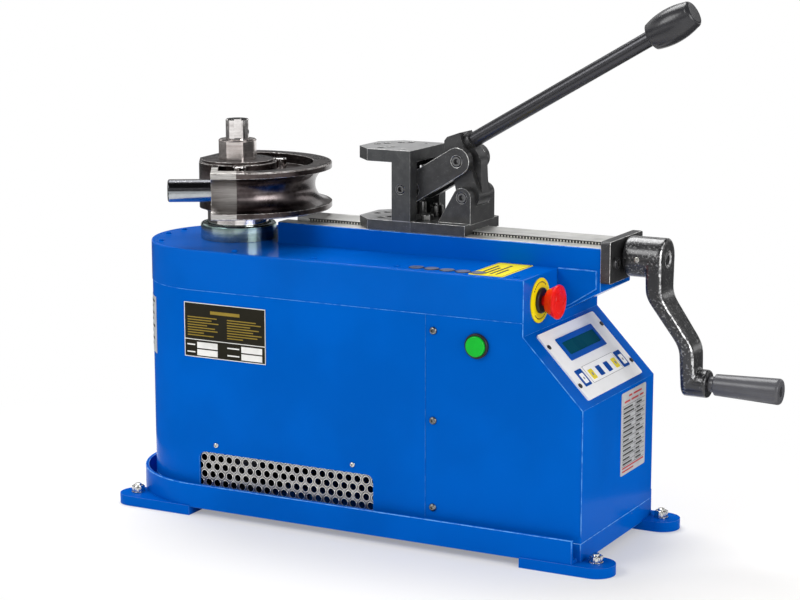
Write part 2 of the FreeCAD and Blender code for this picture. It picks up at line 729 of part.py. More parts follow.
def spindle():
    foot_z = LOWER_BEARING_Z - BEARING_WIDTH / 2 + SEAT
    neck_z = COVER_TOP_Z - COVER_STEP + SEAT
    profile = [(foot_z, 0), (foot_z, JOURNAL_R), (neck_z, JOURNAL_R), (neck_z, NECK_R),
               (NECK_TOP_Z - NECK_LIP, NECK_R), (NECK_TOP_Z - NECK_LIP, NECK_LIP_R),
               (NECK_TOP_Z, NECK_LIP_R), (NECK_TOP_Z, SHAFT_R),
               (SHAFT_TOP_Z - SHAFT_CHAMFER, SHAFT_R), (SHAFT_TOP_Z, SHAFT_R - SHAFT_CHAMFER),
               (SHAFT_TOP_Z, 0)]
    body = turned(profile, V(0, 0, 0), Z_AXIS, X_AXIS)
    collar_top = HUB_TOP_Z + COLLAR_HEIGHT
    runout = upright(SHAFT_R + 1, 0, 0, collar_top - 1, collar_top + 0.5)
    body = body.cut(runout.cut(upright(SHAFT_R - 0.8, 0, 0, 0, SHAFT_TOP_Z)))
    keyway = box(SHAFT_R - KEYWAY_DEPTH, SHAFT_R + 1, -KEYWAY_WIDTH / 2, KEYWAY_WIDTH / 2,
                 collar_top + 1, SHAFT_TOP_Z + 1)
    keyway.rotate(V(0, 0, 0), Z_AXIS, KEYWAY_ANGLE)
    cross = along(CROSS_HOLE_R, 0, CROSS_HOLE_Z, -SHAFT_R - 1, SHAFT_R + 1)
    cross.rotate(V(0, 0, 0), Z_AXIS, CROSS_HOLE_ANGLE)
    return body.cut(keyway).cut(cross)


def die_section():
    """Half section of the die, (height, radius): the rims and a half-round groove for the tube."""
    low = DIE_HEIGHT / 2 - DIE_TUBE_R
    high = DIE_HEIGHT / 2 + DIE_TUBE_R
    z0 = NECK_TOP_Z
    points = [V(0, 0, z0), V(DIE_R - DIE_EDGE, 0, z0), V(DIE_R, 0, z0 + DIE_EDGE), V(DIE_R, 0, z0 + low),
              V(DIE_R, 0, z0 + high), V(DIE_R, 0, z0 + DIE_HEIGHT - DIE_EDGE),
              V(DIE_R - DIE_EDGE, 0, z0 + DIE_HEIGHT), V(0, 0, z0 + DIE_HEIGHT)]
    edges = [Part.LineSegment(a, b).toShape() for a, b in zip(points[:3], points[1:4])]
    edges.append(Part.Arc(points[3], V(DIE_R - DIE_TUBE_R, 0, DIE_MID_Z), points[4]).toShape())
    edges += [Part.LineSegment(a, b).toShape() for a, b in zip(points[4:7], points[5:8])]
    edges.append(Part.LineSegment(points[7], points[0]).toShape())
    return Part.Face(Part.Wire(edges))


def bend_die():
    """Drawn with its straight gripping groove along -x, then turned to the photographed angle."""
    disc = die_section().revolve(V(0, 0, 0), Z_AXIS, 360)
    far = 2 * DIE_R
    front = box(-far, 0, -far, 0, 0, SHAFT_TOP_Z)
    disc = disc.cut(front)
    straight = die_section()
    straight.rotate(V(0, 0, 0), Z_AXIS, -90)
    straight = straight.extrude(V(-DIE_FLAT, 0, 0))
    beyond = plan([(-DIE_FLAT, -far), (-DIE_FLAT, 0), (-DIE_HUB_R, 0), (-DIE_HUB_R, DIE_FLAT_TOP),
                   (-DIE_CHORD_X, DIE_R), (-DIE_CHORD_X, far), (-far, far), (-far, -far)],
                  0, SHAFT_TOP_Z)
    die = disc.cut(beyond).fuse(straight)
    hub = upright(DIE_HUB_R, 0, 0, NECK_TOP_Z, DIE_TOP_Z)
    boss = upright(DIE_BOSS_R, 0, 0, DIE_MID_Z, HUB_TOP_Z)
    floor_z = DIE_TOP_Z - DIE_POCKET_DEPTH
    pocket = upright(DIE_POCKET_R, 0, 0, floor_z, DIE_TOP_Z + 1)
    pocket = pocket.cut(box(-far, DIE_POCKET_RIM - DIE_FLAT, -far, far, 0, SHAFT_TOP_Z))
    die = die.cut(pocket).fuse([hub, boss])
    cuts = [upright(SHAFT_R + FIT, 0, 0, 0, SHAFT_TOP_Z)]
    cuts.append(along(HOOK_R, HOOK_Y, DIE_MID_Z, -DIE_FLAT - 1, -DIE_FLAT + HOOK_IN))
    cuts += [upright(DRIVE_PIN_R, x, y, floor_z + DRIVE_PIN_PROUD - DRIVE_PIN_LENGTH, SHAFT_TOP_Z)
             for x, y in drive_pin_places()]
    die = die.cut(grouped(cuts)).removeSplitter()
    die.rotate(V(0, 0, 0), Z_AXIS, DIE_TURN)
    return die


def drive_pin_places():
    """Middles of the drive pins, in the die's own frame before it is turned."""
    turns = [math.radians(angle - DIE_TURN) for angle in DRIVE_PIN_ANGLES]
    return [(PIN_CIRCLE_R * math.cos(t), PIN_CIRCLE_R * math.sin(t)) for t in turns]


def drive_pins():
    top = DIE_TOP_Z - DIE_POCKET_DEPTH + DRIVE_PIN_PROUD
    pins = []
    for x, y in drive_pin_places():
        pin = upright(DRIVE_PIN_R, x, y, top - DRIVE_PIN_LENGTH, top)
        pin = pin.makeChamfer(DIE_EDGE, [e for e in pin.Edges if e.BoundBox.ZMin > top - 1e-6])
        pin.rotate(V(0, 0, 0), Z_AXIS, DIE_TURN)
        pins.append(pin)
    return grouped(pins)


def hook_bar():
    bar = along(HOOK_R, HOOK_Y, DIE_MID_Z, -DIE_FLAT - HOOK_OUT, -DIE_FLAT + HOOK_IN)
    tip = [e for e in bar.Edges if e.BoundBox.XMax < -DIE_FLAT - HOOK_OUT + 1e-6]
    bar = bar.makeChamfer(1.5, tip)
    bar.rotate(V(0, 0, 0), Z_AXIS, DIE_TURN)
    return bar


def retaining_collar():
    """The nut that holds the die down: broad spanner facets below a plain ring."""
    z0 = HUB_TOP_Z
    z1 = z0 + COLLAR_HEIGHT
    facet_top = z1 - COLLAR_RING
    ring = upright(COLLAR_R, 0, 0, z0, z1)
    ring = ring.makeChamfer(COLLAR_CHAMFER, [e for e in ring.Edges if e.BoundBox.ZMin > z1 - 1e-6])
    radius = COLLAR_FLAT / math.cos(math.pi / COLLAR_FLATS)
    turns = [2 * math.pi * i / COLLAR_FLATS for i in range(COLLAR_FLATS)]
    facets = plan([(radius * math.cos(t), radius * math.sin(t)) for t in turns], z0 - 1, facet_top)
    band = upright(COLLAR_R + 1, 0, 0, z0 - 1, facet_top).cut(facets)
    return ring.cut(band).cut(upright(SHAFT_R + FIT, 0, 0, z0 - 1, z1 + 1))


def slide_beam():
    outline = [(BEAM_X0, BEAM_INNER_Z), (LID_X1 + SEAT, BEAM_INNER_Z), (LID_X1 + SEAT, BEAM_ROOT_Z),
               (BEAM_X1, BEAM_END_Z), (BEAM_X1, BEAM_TOP_Z), (BEAM_X0, BEAM_TOP_Z)]
    bar = side(outline, BEAM_Y0, BEAM_Y1)
    cheek = side([(LID_X1 + SEAT, BEAM_ROOT_Z + 4), (CHEEK_CORNER_X, CHEEK_CORNER_Z),
                  (CHEEK_X1, CHEEK_RIGHT_Z), (CHEEK_X1, CHEEK_TOP_Z), (LID_X1 + SEAT, CHEEK_TOP_Z)],
                 BEAM_Y0 - CHEEK, BEAM_Y0 + 1)
    lip = box(BEAM_X0, BEAM_X1, BEAM_Y0, BEAM_Y0 + RAIL_LIP, BEAM_TOP_Z - 1, RAIL_TOP_Z - RAIL_LIP_DROP)
    bar = fused([bar, cheek, lip])
    hollow = box(BEAM_X0 + BEAM_WALL, LID_X1 - BEAM_WALL, BEAM_Y0 + BEAM_WALL, BEAM_Y1 - BEAM_WALL,
                 BEAM_INNER_Z - 1, BEAM_POCKET_TOP_Z)
    channel = box(CHANNEL_X0, CHANNEL_X1, CHANNEL_Y0, CHANNEL_Y1, CHANNEL_Z, BEAM_TOP_Z + 1)
    end_bore = along(SCREW_R + FIT, SCREW_Y, SCREW_Z, CHANNEL_X1 - 1, BEAM_X1 + 1)
    far_bore = along(JOURNAL_END_R + FIT, SCREW_Y, SCREW_Z, CHANNEL_X0 - 22, CHANNEL_X0 + 1)
    cuts = [hollow, channel, end_bore, far_bore]
    tip = BEAM_X1 + END_PLATE - END_SCREW_SHANK - 2
    cuts += [along(END_SCREW_SHANK_R, y, END_SCREW_Z, tip, BEAM_X1 + 1) for y in end_screw_ys()]
    return bar.cut(grouped(cuts))


def end_screw_ys():
    return (SCREW_Y - END_SCREW_SPAN, SCREW_Y + END_SCREW_SPAN)


def front_rail():
    return box(BEAM_X0, BEAM_X1, BEAM_Y0 + RAIL_LIP, FRONT_RAIL_Y1, BEAM_TOP_Z, RAIL_TOP_Z)


def rear_rail():
    return box(GUIDE_X0, BEAM_X1, REAR_RAIL_Y0, BEAM_Y1, BEAM_TOP_Z, RAIL_TOP_Z)


def guide_bar():
    """The raised guide: a row of teeth shows in the undercut along its front side."""
    y0 = FRONT_RAIL_Y1
    solid_x = GUIDE_X0 + GUIDE_SOLID_END
    low = box(GUIDE_X0, BEAM_X1, y0, GUIDE_Y1, BEAM_TOP_Z, RAIL_TOP_Z)
    root = y0 + TEETH_RECESS + TEETH_DEPTH
    tip = y0 + TEETH_RECESS
    outline = [(BEAM_X1, GUIDE_Y1), (GUIDE_X0, GUIDE_Y1), (GUIDE_X0, y0), (solid_x, y0), (solid_x, root)]
    x = solid_x + TEETH_PITCH / 2
    while x + TEETH_PITCH < BEAM_X1:
        outline += [(x, root), (x, tip), (x + TEETH_PITCH / 2, tip), (x + TEETH_PITCH / 2, root)]
        x += TEETH_PITCH
    outline.append((BEAM_X1, root))
    rack = plan(outline, RAIL_TOP_Z, RAIL_TOP_Z + TEETH_HEIGHT)
    top = box(GUIDE_X0, BEAM_X1, y0, GUIDE_Y1, RAIL_TOP_Z + TEETH_HEIGHT, GUIDE_TOP_Z)
    groove = box(CHANNEL_X0, BEAM_X1 + 1, CHANNEL_Y0, GUIDE_Y1 + 1,
                 BEAM_TOP_Z - 1, BEAM_TOP_Z + GUIDE_GROOVE)
    return low.fuse([rack, top]).cut(groove)


def end_plate():
    plate = box(BEAM_X1, BEAM_X1 + END_PLATE, END_PLATE_Y0, END_PLATE_Y1, END_PLATE_Z0, END_PLATE_Z1)
    outer = [e for e in plate.Edges if abs(e.BoundBox.XLength - END_PLATE) < 1e-6]
    plate = plate.makeFillet(END_PLATE_CHAMFER, outer)
    holes = [along(SCREW_R + FIT, SCREW_Y, SCREW_Z, BEAM_X1 - 1, BEAM_X1 + END_PLATE + 1)]
    holes += [along(END_SCREW_SHANK_R, y, END_SCREW_Z, BEAM_X1 - 1, BEAM_X1 + END_PLATE + 1)
              for y in end_screw_ys()]
    return plate.cut(grouped(holes))


def socket_screw(y, z, x_seat, head_r, head, shank_r, shank):
    """A socket-head screw along -X, with its head standing on x_seat."""
    cap = along(head_r, y, z, x_seat, x_seat + head)
    rim = [e for e in cap.Edges if e.BoundBox.XMin > x_seat + head - 1e-6]
    cap = cap.makeChamfer(0.6, rim)
    stem = along(shank_r, y, z, x_seat - shank, x_seat)
    socket = along(head_r * 0.5, y, z, x_seat + head * 0.4, x_seat + head + 1)
    return fused([cap, stem]).cut(socket)


def end_plate_screws():
    x = BEAM_X1 + END_PLATE
    return grouped([socket_screw(y, END_SCREW_Z, x, END_SCREW_R, END_SCREW_HEAD,
                                 END_SCREW_SHANK_R, END_SCREW_SHANK) for y in end_screw_ys()])


def lead_screw():
    tip = along(JOURNAL_END_R, SCREW_Y, SCREW_Z, CHANNEL_X0 - 21, CHANNEL_X0 + SEAT)
    thread = along(SCREW_R, SCREW_Y, SCREW_Z, CHANNEL_X0 + SEAT, HUB_X1 - HUB_WALL)
    collar_x1 = CHANNEL_X1 - SEAT
    collar = along(SCREW_COLLAR_R, SCREW_Y, SCREW_Z, collar_x1 - SCREW_COLLAR, collar_x1)
    return fused([tip, thread, collar])


def lead_nut():
    """The nut on the screw, hung from the carriage by a web through the gap behind the guide bar."""
    x0 = NUT_X - NUT_LENGTH / 2
    x1 = NUT_X + NUT_LENGTH / 2
    web_y0 = GUIDE_Y1 + 1
    web_y1 = web_y0 + NUT_WEB
    block = box(x0, x1, CHANNEL_Y0 + 2, web_y1, NUT_Z0, BEAM_TOP_Z + GUIDE_GROOVE - SEAT)
    web = box(x0, x1, web_y0, web_y1, NUT_Z0, RAIL_TOP_Z + SEAT)
    nut = fused([block, web])
    return nut.cut(along(SCREW_R + FIT, SCREW_Y, SCREW_Z, x0 - 1, x1 + 1))


def crank():
    """A cast crank: hub, a flat arm with a double bend seen from the side, and a boss for the grip.
    Seen from the end, the arm's sides run straight from the hub's circle to the lower circle."""
    drop = ARM_THICK * 0.7
    bottom = CRANK_PIN_Z - ARM_END_R
    outline = [(HUB_X1, SCREW_Z + HUB_R), (HUB_X1, ARM_BEND_TOP_Z), (ARM_RIGHT_X, ARM_BEND_BOTTOM_Z),
               (ARM_END_X, bottom - 1), (ARM_END_X - ARM_THICK + 2, bottom - 1),
               (ARM_RIGHT_X - ARM_THICK + 2, ARM_BEND_BOTTOM_Z - drop / 8),
               (HUB_X1 - ARM_THICK, ARM_BEND_TOP_Z - drop / 6), (HUB_X1 - ARM_THICK, SCREW_Z + HUB_R)]
    bent = side(outline, SCREW_Y - HUB_R - 1, SCREW_Y + HUB_R + 1)
    bends = [e for e in bent.Edges if e.BoundBox.YLength > HUB_R
             and ARM_BEND_BOTTOM_Z - drop < e.BoundBox.ZMin < ARM_BEND_TOP_Z + 1]
    bent = bent.makeFillet(ARM_BEND_R, bends)
    x0 = HUB_X1 - ARM_THICK - 1
    x1 = ARM_END_X + 1
    lean = math.asin((HUB_R - ARM_END_R) / CRANK_R)
    corners = [(SCREW_Y + sign * radius * math.cos(lean), z - radius * math.sin(lean))
               for sign, ends in ((-1, (0, 1)), (1, (1, 0)))
               for radius, z in [((HUB_R, SCREW_Z), (ARM_END_R, CRANK_PIN_Z))[i] for i in ends]]
    plate = fused([end_on(corners, x0, x1), along(HUB_R, SCREW_Y, SCREW_Z, x0, x1),
                   along(ARM_END_R, SCREW_Y, CRANK_PIN_Z, x0, x1)])
    arm = bent.common(plate)
    hub = along(HUB_R, SCREW_Y, SCREW_Z, HUB_X0, HUB_X1)
    boss = along(BOSS_R, SCREW_Y, CRANK_PIN_Z, ARM_END_X - 4, BOSS_X1)
    body = fused([arm, hub])
    ends = [e for e in body.Edges if e.BoundBox.XMax < HUB_X0 + 1e-6
            or (e.BoundBox.XMin > HUB_X1 - 1e-6 and e.BoundBox.ZMax > SCREW_Z + HUB_R - 1e-6)]
    body = body.makeFillet(CRANK_ROUND, ends).fuse(boss)
    bore = along(SCREW_R, SCREW_Y, SCREW_Z, HUB_X0 - 1, HUB_X1 - HUB_WALL)
    eye = along(HUB_SCREW_STEM_R, SCREW_Y, SCREW_Z, HUB_X1 - HUB_WALL - 1, HUB_X1 + 1)
    recess = along(HUB_SCREW_RECESS_R, SCREW_Y, SCREW_Z, HUB_X1 - HUB_SCREW_RECESS, HUB_X1 + 1)
    pin_bore = along(GRIP_BOLT_R, SCREW_Y, CRANK_PIN_Z, ARM_END_X - GRIP_BOLT_GRIP, BOSS_X1 + 1)
    set_hole = rod(SET_SCREW_R, (HUB_X0 + SET_SCREW_IN, SCREW_Y, SCREW_Z), V(0, -1, 0), HUB_R + 1)
    return body.cut(fused([bore, eye, recess])).cut(grouped([pin_bore, set_hole]))


def crank_set_screw():
    """The set screw across the hub, and the cap screw in the recess at the hub's end."""
    x = HUB_X0 + SET_SCREW_IN
    stem = rod(SET_SCREW_R, (x, SCREW_Y - SCREW_R, SCREW_Z), V(0, -1, 0), HUB_R - SCREW_R)
    socket = rod(SET_SCREW_R * 0.5, (x, SCREW_Y - HUB_R + 3, SCREW_Z), V(0, -1, 0), 4)
    set_screw = stem.cut(socket).cut(along(SCREW_R, SCREW_Y, SCREW_Z, HUB_X0, HUB_X1))
    seat = HUB_X1 - HUB_SCREW_RECESS
    cap = along(HUB_SCREW_R, SCREW_Y, SCREW_Z, seat, HUB_X1 - SEAT)
    cap_stem = along(HUB_SCREW_STEM_R, SCREW_Y, SCREW_Z, HUB_X1 - HUB_WALL, seat)
    key = along(HUB_SCREW_R * 0.45, SCREW_Y, SCREW_Z, seat + HUB_SCREW_RECESS * 0.3, HUB_X1 + 1)
    return grouped([set_screw, fused([cap, cap_stem]).cut(key)])


def grip_bolt():
    head_x = GRIP_X1 - GRIP_BOLT_HEAD - GRIP_BOLT_SUNK
    stem = along(GRIP_BOLT_R, SCREW_Y, CRANK_PIN_Z, ARM_END_X - GRIP_BOLT_GRIP, head_x)
    head = along(GRIP_BOLT_HEAD_R, SCREW_Y, CRANK_PIN_Z, head_x, head_x + GRIP_BOLT_HEAD)
    socket = along(GRIP_BOLT_R * 0.6, SCREW_Y, CRANK_PIN_Z, head_x + 2, GRIP_X1)
    return fused([stem, head]).cut(socket)


def crank_grip():
    """A turned grip: a neck at the arm, then a body that widens outwards to a rounded end."""
    x0 = BOSS_X1 + SEAT
    length = GRIP_X1 - x0
    dome = length - GRIP_DOME
    start = V(x0, SCREW_Y, CRANK_PIN_Z)

    def at(t, r):
        return start + X_AXIS * t + Z_AXIS * r

    outline = [at(length, GRIP_END_R - GRIP_DOME), at(length, 0), at(0, 0), at(0, GRIP_NECK_R),
               at(GRIP_NECK, GRIP_NECK_R), at(GRIP_NECK + GRIP_SHOULDER, GRIP_START_R),
               at(dome, GRIP_END_R)]
    edges = [Part.LineSegment(a, b).toShape() for a, b in zip(outline[:-1], outline[1:])]
    edges.append(Part.Arc(outline[-1], at(dome + GRIP_DOME * 0.7, GRIP_END_R - GRIP_DOME * 0.3),
                          outline[0]).toShape())
    body = Part.Face(Part.Wire(edges)).revolve(start, X_AXIS, 360)
    seat_x = GRIP_X1 - GRIP_BOLT_HEAD - GRIP_BOLT_SUNK - SEAT
    bore = along(GRIP_BOLT_R + FIT, SCREW_Y, CRANK_PIN_Z, x0 - 1, GRIP_X1)
    recess = along(GRIP_BOLT_HEAD_R + SEAT, SCREW_Y, CRANK_PIN_Z, seat_x, GRIP_X1 + 1)
    return body.cut(fused([bore, recess]))


def jaw_plate(z0, z1):
    """The jaw's plate seen from above: a blunt nose between two corners cut at 45 degrees."""
    back = JAW_NOSE_X + JAW_CHAMFER
    return plan([(JAW_BACK_X, JAW_Y0), (JAW_BACK_X, JAW_Y1), (back, JAW_Y1),
                 (JAW_NOSE_X, JAW_Y1 - JAW_CHAMFER), (JAW_NOSE_X, JAW_Y0 + JAW_CHAMFER),
                 (back, JAW_Y0)], z0, z1)


def guide_groove(x0, x1):
    """The groove under the carriage that fits over the raised guide bar."""
    return box(x0, x1, FRONT_RAIL_Y1 - SEAT, GUIDE_Y1 + SEAT, RAIL_TOP_Z - 1, GUIDE_TOP_Z + SEAT)


def jaw_block():
    """A C-shaped jaw: two plates that hold the counter-die's pin, on a column open at the back."""
    foot = jaw_plate(RAIL_TOP_Z + SEAT, JAW_FOOT_TOP_Z)
    top = jaw_plate(JAW_TOP_Z - JAW_TOP_PLATE, JAW_TOP_Z)
    middle = (JAW_FOOT_TOP_Z - 1, JAW_TOP_Z - JAW_TOP_PLATE + 1)
    front = box(JAW_COLUMN_X, JAW_BACK_X, JAW_Y0, JAW_Y0 + JAW_CHEEK, *middle)
    rear = box(JAW_COLUMN_X, JAW_BACK_X, JAW_Y1 - JAW_CHEEK, JAW_Y1, *middle)
    web = box(JAW_COLUMN_X, JAW_COLUMN_X + JAW_WEB, JAW_Y0 + JAW_CHEEK - 1, JAW_Y1 - JAW_CHEEK + 1, *middle)
    sweep = LINK_HALF + LINK_OPEN_CLEARANCE + LINK_AIR
    slots = [across(sweep, JAW_PIN_X, JAW_PIN_Z, y0 - LINK_AIR, y1 + LINK_AIR) for y0, y1 in link_ys()]
    jaw = fused([foot, top, front, rear, web.cut(grouped(slots))])
    cuts = [guide_groove(JAW_NOSE_X - 1, JAW_BACK_X + 1)]
    cuts.append(across(JAW_PIN_R, JAW_PIN_X, JAW_PIN_Z, JAW_Y0 - 1, JAW_Y1 + 1))
    cuts += [upright(JAW_BORE_R, x, y, RAIL_TOP_Z, JAW_TOP_Z + 1) for x, y in JAW_BORES]
    cuts += [upright(JAW_SMALL_BORE_R, x, y, JAW_TOP_Z - JAW_SMALL_BORE, JAW_TOP_Z + 1)
             for x, y in JAW_SMALL_BORES]
    return jaw.cut(grouped(cuts))


def socketed_pin(radius, x, z, y0, y1):
    """A plain pin across the machine with a hexagon-key socket bored in its front end."""
    pin = across(radius, x, z, y0, y1)
    pin = pin.makeChamfer(0.8, [e for e in pin.Edges if e.BoundBox.YLength < 1e-6])
    return pin.cut(across(radius * 0.42, x, z, y0 - 1, y0 + 4))


def jaw_pin():
    return socketed_pin(JAW_PIN_R, JAW_PIN_X, JAW_PIN_Z, JAW_Y0 - 0.6, JAW_Y1 + 0.6)


def jaw_stud():
    return upright(JAW_STUD_R, JAW_STUD_X, JAW_STUD_Y, JAW_FOOT_TOP_Z, JAW_STUD_TOP_Z)


def lug_ys():
    """Near and far face of each lug, one each side of the lever's foot."""
    inner = HEAD_HALF + HEAD_SPREAD
    return ((LEVER_MID_Y - inner - LUG_THICK, LEVER_MID_Y - inner),
            (LEVER_MID_Y + inner, LEVER_MID_Y + inner + LUG_THICK))


def link_ys():
    """Near and far face of each link, one each side of the lever's head."""
    inner = HEAD_HALF + HEAD_SPREAD
    return ((LEVER_MID_Y - inner - LINK_THICK, LEVER_MID_Y - inner),
            (LEVER_MID_Y + inner, LEVER_MID_Y + inner + LINK_THICK))


def carriage_base():
    foot = box(JAW_BACK_X + SEAT, BASE_X1, JAW_Y0, JAW_Y1, RAIL_TOP_Z + SEAT, BASE_TOP_Z)
    reach = math.hypot(LOWER_X - LUG_FOOT_X, LOWER_Z - BASE_TOP_Z)
    lean = math.atan2(LOWER_Z - BASE_TOP_Z, LOWER_X - LUG_FOOT_X) + math.asin(LUG_R / reach)
    touch = (LOWER_X - LUG_R * math.sin(lean), LOWER_Z + LUG_R * math.cos(lean))
    right = LOWER_X + LUG_R
    pieces = [foot]
    for y0, y1 in lug_ys():
        flank = side([(LUG_FOOT_X, BASE_TOP_Z - 1), (LUG_FOOT_X, BASE_TOP_Z), touch, (LOWER_X, LOWER_Z),
                      (right, LOWER_Z), (right, BASE_TOP_Z - 1)], y0, y1)
        pieces.append(flank.fuse(across(LUG_R, LOWER_X, LOWER_Z, y0, y1)))
    web = box(LOWER_X - 6, right, lug_ys()[0][1] - 1, lug_ys()[1][0] + 1, BASE_TOP_Z - 1, LOWER_Z - 8)
    web = web.cut(across(HEAD_FOOT_R + 0.6, LOWER_X, LOWER_Z, JAW_Y0, JAW_Y1))
    body = fused(pieces + [web])
    cuts = [guide_groove(JAW_BACK_X - 1, BASE_X1 + 1)]
    cuts.append(across(PIN_R, LOWER_X, LOWER_Z, JAW_Y0, JAW_Y1))
    cuts += [upright(BASE_STEM_R, x, y, BASE_TOP_Z - BASE_STEM, BASE_TOP_Z + 1)
             for x, y in (BASE_BOLT, BASE_NUT)]
    return body.cut(grouped(cuts))


def base_bolts():
    """A low bolt and a tall round nut on its stud, in the pocket behind the jaw."""
    bolts = []
    for (x, y), height in ((BASE_BOLT, BASE_BOLT_HEAD), (BASE_NUT, BASE_NUT_HEIGHT)):
        top = BASE_TOP_Z + height
        head = upright(BASE_BOLT_R, x, y, BASE_TOP_Z, top)
        head = head.makeChamfer(1.0, [e for e in head.Edges if e.BoundBox.ZMin > top - 1e-6])
        bolts.append(fused([head, upright(BASE_STEM_R, x, y, BASE_TOP_Z - BASE_STEM, BASE_TOP_Z)]))
    x, y = BASE_NUT
    tip = BASE_TOP_Z + BASE_NUT_HEIGHT + BASE_STUD_PROUD
    bolts[1] = bolts[1].fuse(upright(BASE_STUD_R, x, y, BASE_TOP_Z + 1, tip)).removeSplitter()
    return grouped(bolts)


def lower_pin():
    near = lug_ys()[0][0]
    far = lug_ys()[1][1]
    return socketed_pin(PIN_R, LOWER_X, LOWER_Z, near - 0.6, far + 0.6)


def upper_pin():
    reach = HEAD_HALF + HEAD_SPREAD + LINK_THICK + 0.5
    return socketed_pin(PIN_R, UPPER_X, UPPER_Z, LEVER_MID_Y - reach, LEVER_MID_Y + reach)


def link_plates():
    """Two flat links: a running hole at the lever, and an opened hole round the jaw's pin."""
    end = (JAW_PIN_X + LINK_HOLE_SHIFT_X, JAW_PIN_Z + LINK_HOLE_SHIFT_Z)
    dx = UPPER_X - end[0]
    dz = UPPER_Z - end[1]
    length = math.hypot(dx, dz)
    nx = -dz / length * LINK_HALF
    nz = dx / length * LINK_HALF
    hole_r = JAW_PIN_R + LINK_OPEN_CLEARANCE
    plates = []
    for y0, y1 in link_ys():
        bar = side([(end[0] + nx, end[1] + nz), (UPPER_X + nx, UPPER_Z + nz),
                    (UPPER_X - nx, UPPER_Z - nz), (end[0] - nx, end[1] - nz)], y0, y1)
        plate = fused([bar, across(LINK_HALF, *end, y0, y1),
                       across(LINK_HALF, UPPER_X, UPPER_Z, y0, y1)])
        holes = [across(hole_r, *end, y0 - 1, y1 + 1),
                 across(PIN_R + FIT, UPPER_X, UPPER_Z, y0 - 1, y1 + 1)]
        plates.append(plate.cut(grouped(holes)))
    return grouped(plates)


def rod_point(distance):
    """A point on the rod's axis, measured from where the rod leaves the lever's head."""
    lean = math.radians(ROD_ANGLE)
    return V(ROD_START_X + distance * math.cos(lean), LEVER_MID_Y, ROD_START_Z + distance * math.sin(lean))


def rod_direction():
    lean = math.radians(ROD_ANGLE)
    return V(math.cos(lean), 0, math.sin(lean))


def lever_head():
    """The forged foot of the lever: it swings on the lower pin and drives the links at the upper."""
    y0 = LEVER_MID_Y - HEAD_HALF
    y1 = LEVER_MID_Y + HEAD_HALF
    left = (LOWER_X - HEAD_FOOT_R + 0.2, LOWER_Z + 4)
    right = (LOWER_X + HEAD_FOOT_R - 0.2, LOWER_Z + 3)
    back = [(LOWER_X + dx, LOWER_Z + dz) for dx, dz in HEAD_BACK]
    rib_line = [(LOWER_X + dx, LOWER_Z + dz) for dx, dz in HEAD_RIB]
    root = (LOWER_X + HEAD_RIB_ROOT[0], LOWER_Z + HEAD_RIB_ROOT[1])
    blade = side([left] + back + [right], y0, y1)
    rib = side(rib_line + [right, root], LEVER_MID_Y - HEAD_RIB_HALF, LEVER_MID_Y + HEAD_RIB_HALF)
    foot = across(HEAD_FOOT_R, LOWER_X, LOWER_Z, y0, y1)
    socket = Part.makeCylinder(ROD_R + HEAD_SOCKET_WALL, ROD_IN + 1 - HEAD_SOCKET_SHORT,
                               rod_point(-ROD_IN - 1), rod_direction())
    head = fused([blade, rib, foot, socket])
    holes = [across(PIN_R + FIT, LOWER_X, LOWER_Z, y0 - 1, y1 + 1),
             across(PIN_R, UPPER_X, UPPER_Z, y0 - 1, y1 + 1)]
    bore = Part.makeCylinder(ROD_R, ROD_SEAT + 1, rod_point(-ROD_SEAT), rod_direction())
    return head.cut(grouped(holes)).cut(bore)


def lever_rod():
    length = ROD_SEAT + ROD_LENGTH + KNOB_IN
    return Part.makeCylinder(ROD_R, length, rod_point(-ROD_SEAT), rod_direction())


def lever_knob():
    """The barrel knob: a long swell between a narrow collar and a rounded end."""
    direction = rod_direction()
    start = rod_point(ROD_LENGTH)
    outwards = V(-direction.z, 0, direction.x)

    def at(t, r):
        return start + direction * t + outwards * r

    edges = [
        Part.LineSegment(at(0, 0), at(0, ROD_R + 3)).toShape(),
        Part.LineSegment(at(0, ROD_R + 3), at(2, KNOB_START_R)).toShape(),
        Part.Arc(at(2, KNOB_START_R), at(KNOB_LENGTH * 0.55, KNOB_R),
                 at(KNOB_LENGTH - 5, KNOB_END_R)).toShape(),
        Part.Arc(at(KNOB_LENGTH - 5, KNOB_END_R), at(KNOB_LENGTH - 1.5, KNOB_END_R - 2),
                 at(KNOB_LENGTH, KNOB_END_R - 5.5)).toShape(),
        Part.LineSegment(at(KNOB_LENGTH, KNOB_END_R - 5.5), at(KNOB_LENGTH, 0)).toShape(),
        Part.LineSegment(at(KNOB_LENGTH, 0), at(0, 0)).toShape(),
    ]
    body = Part.Face(Part.Wire(edges)).revolve(start, direction, 360)
    return body.cut(Part.makeCylinder(ROD_R, KNOB_IN + 1, rod_point(ROD_LENGTH - 1), direction))


def estop_disc():
    disc = along(ESTOP_DISC_R, ESTOP_Y, ESTOP_Z, LID_X1, LID_X1 + ESTOP_DISC)
    return disc.cut(along(ESTOP_SHANK_R + FIT, ESTOP_Y, ESTOP_Z, LID_X1 - 1, LID_X1 + ESTOP_DISC + 1))


def estop_collar():
    x0 = LID_X1 + ESTOP_DISC
    flange = along(ESTOP_COLLAR_R, ESTOP_Y, ESTOP_Z, x0, x0 + ESTOP_COLLAR)
    x1 = x0 + ESTOP_COLLAR
    back = SLANT_TOP_X - ESTOP_THREAD
    flange = flange.makeChamfer(1.5, [e for e in flange.Edges if e.BoundBox.XMin > x1 - 1e-6])
    shank = along(ESTOP_SHANK_R, ESTOP_Y, ESTOP_Z, back, x0)
    bore = along(ESTOP_STEM_R + FIT, ESTOP_Y, ESTOP_Z, back - 1, x1 + 1)
    return fused([flange, shank]).cut(bore)


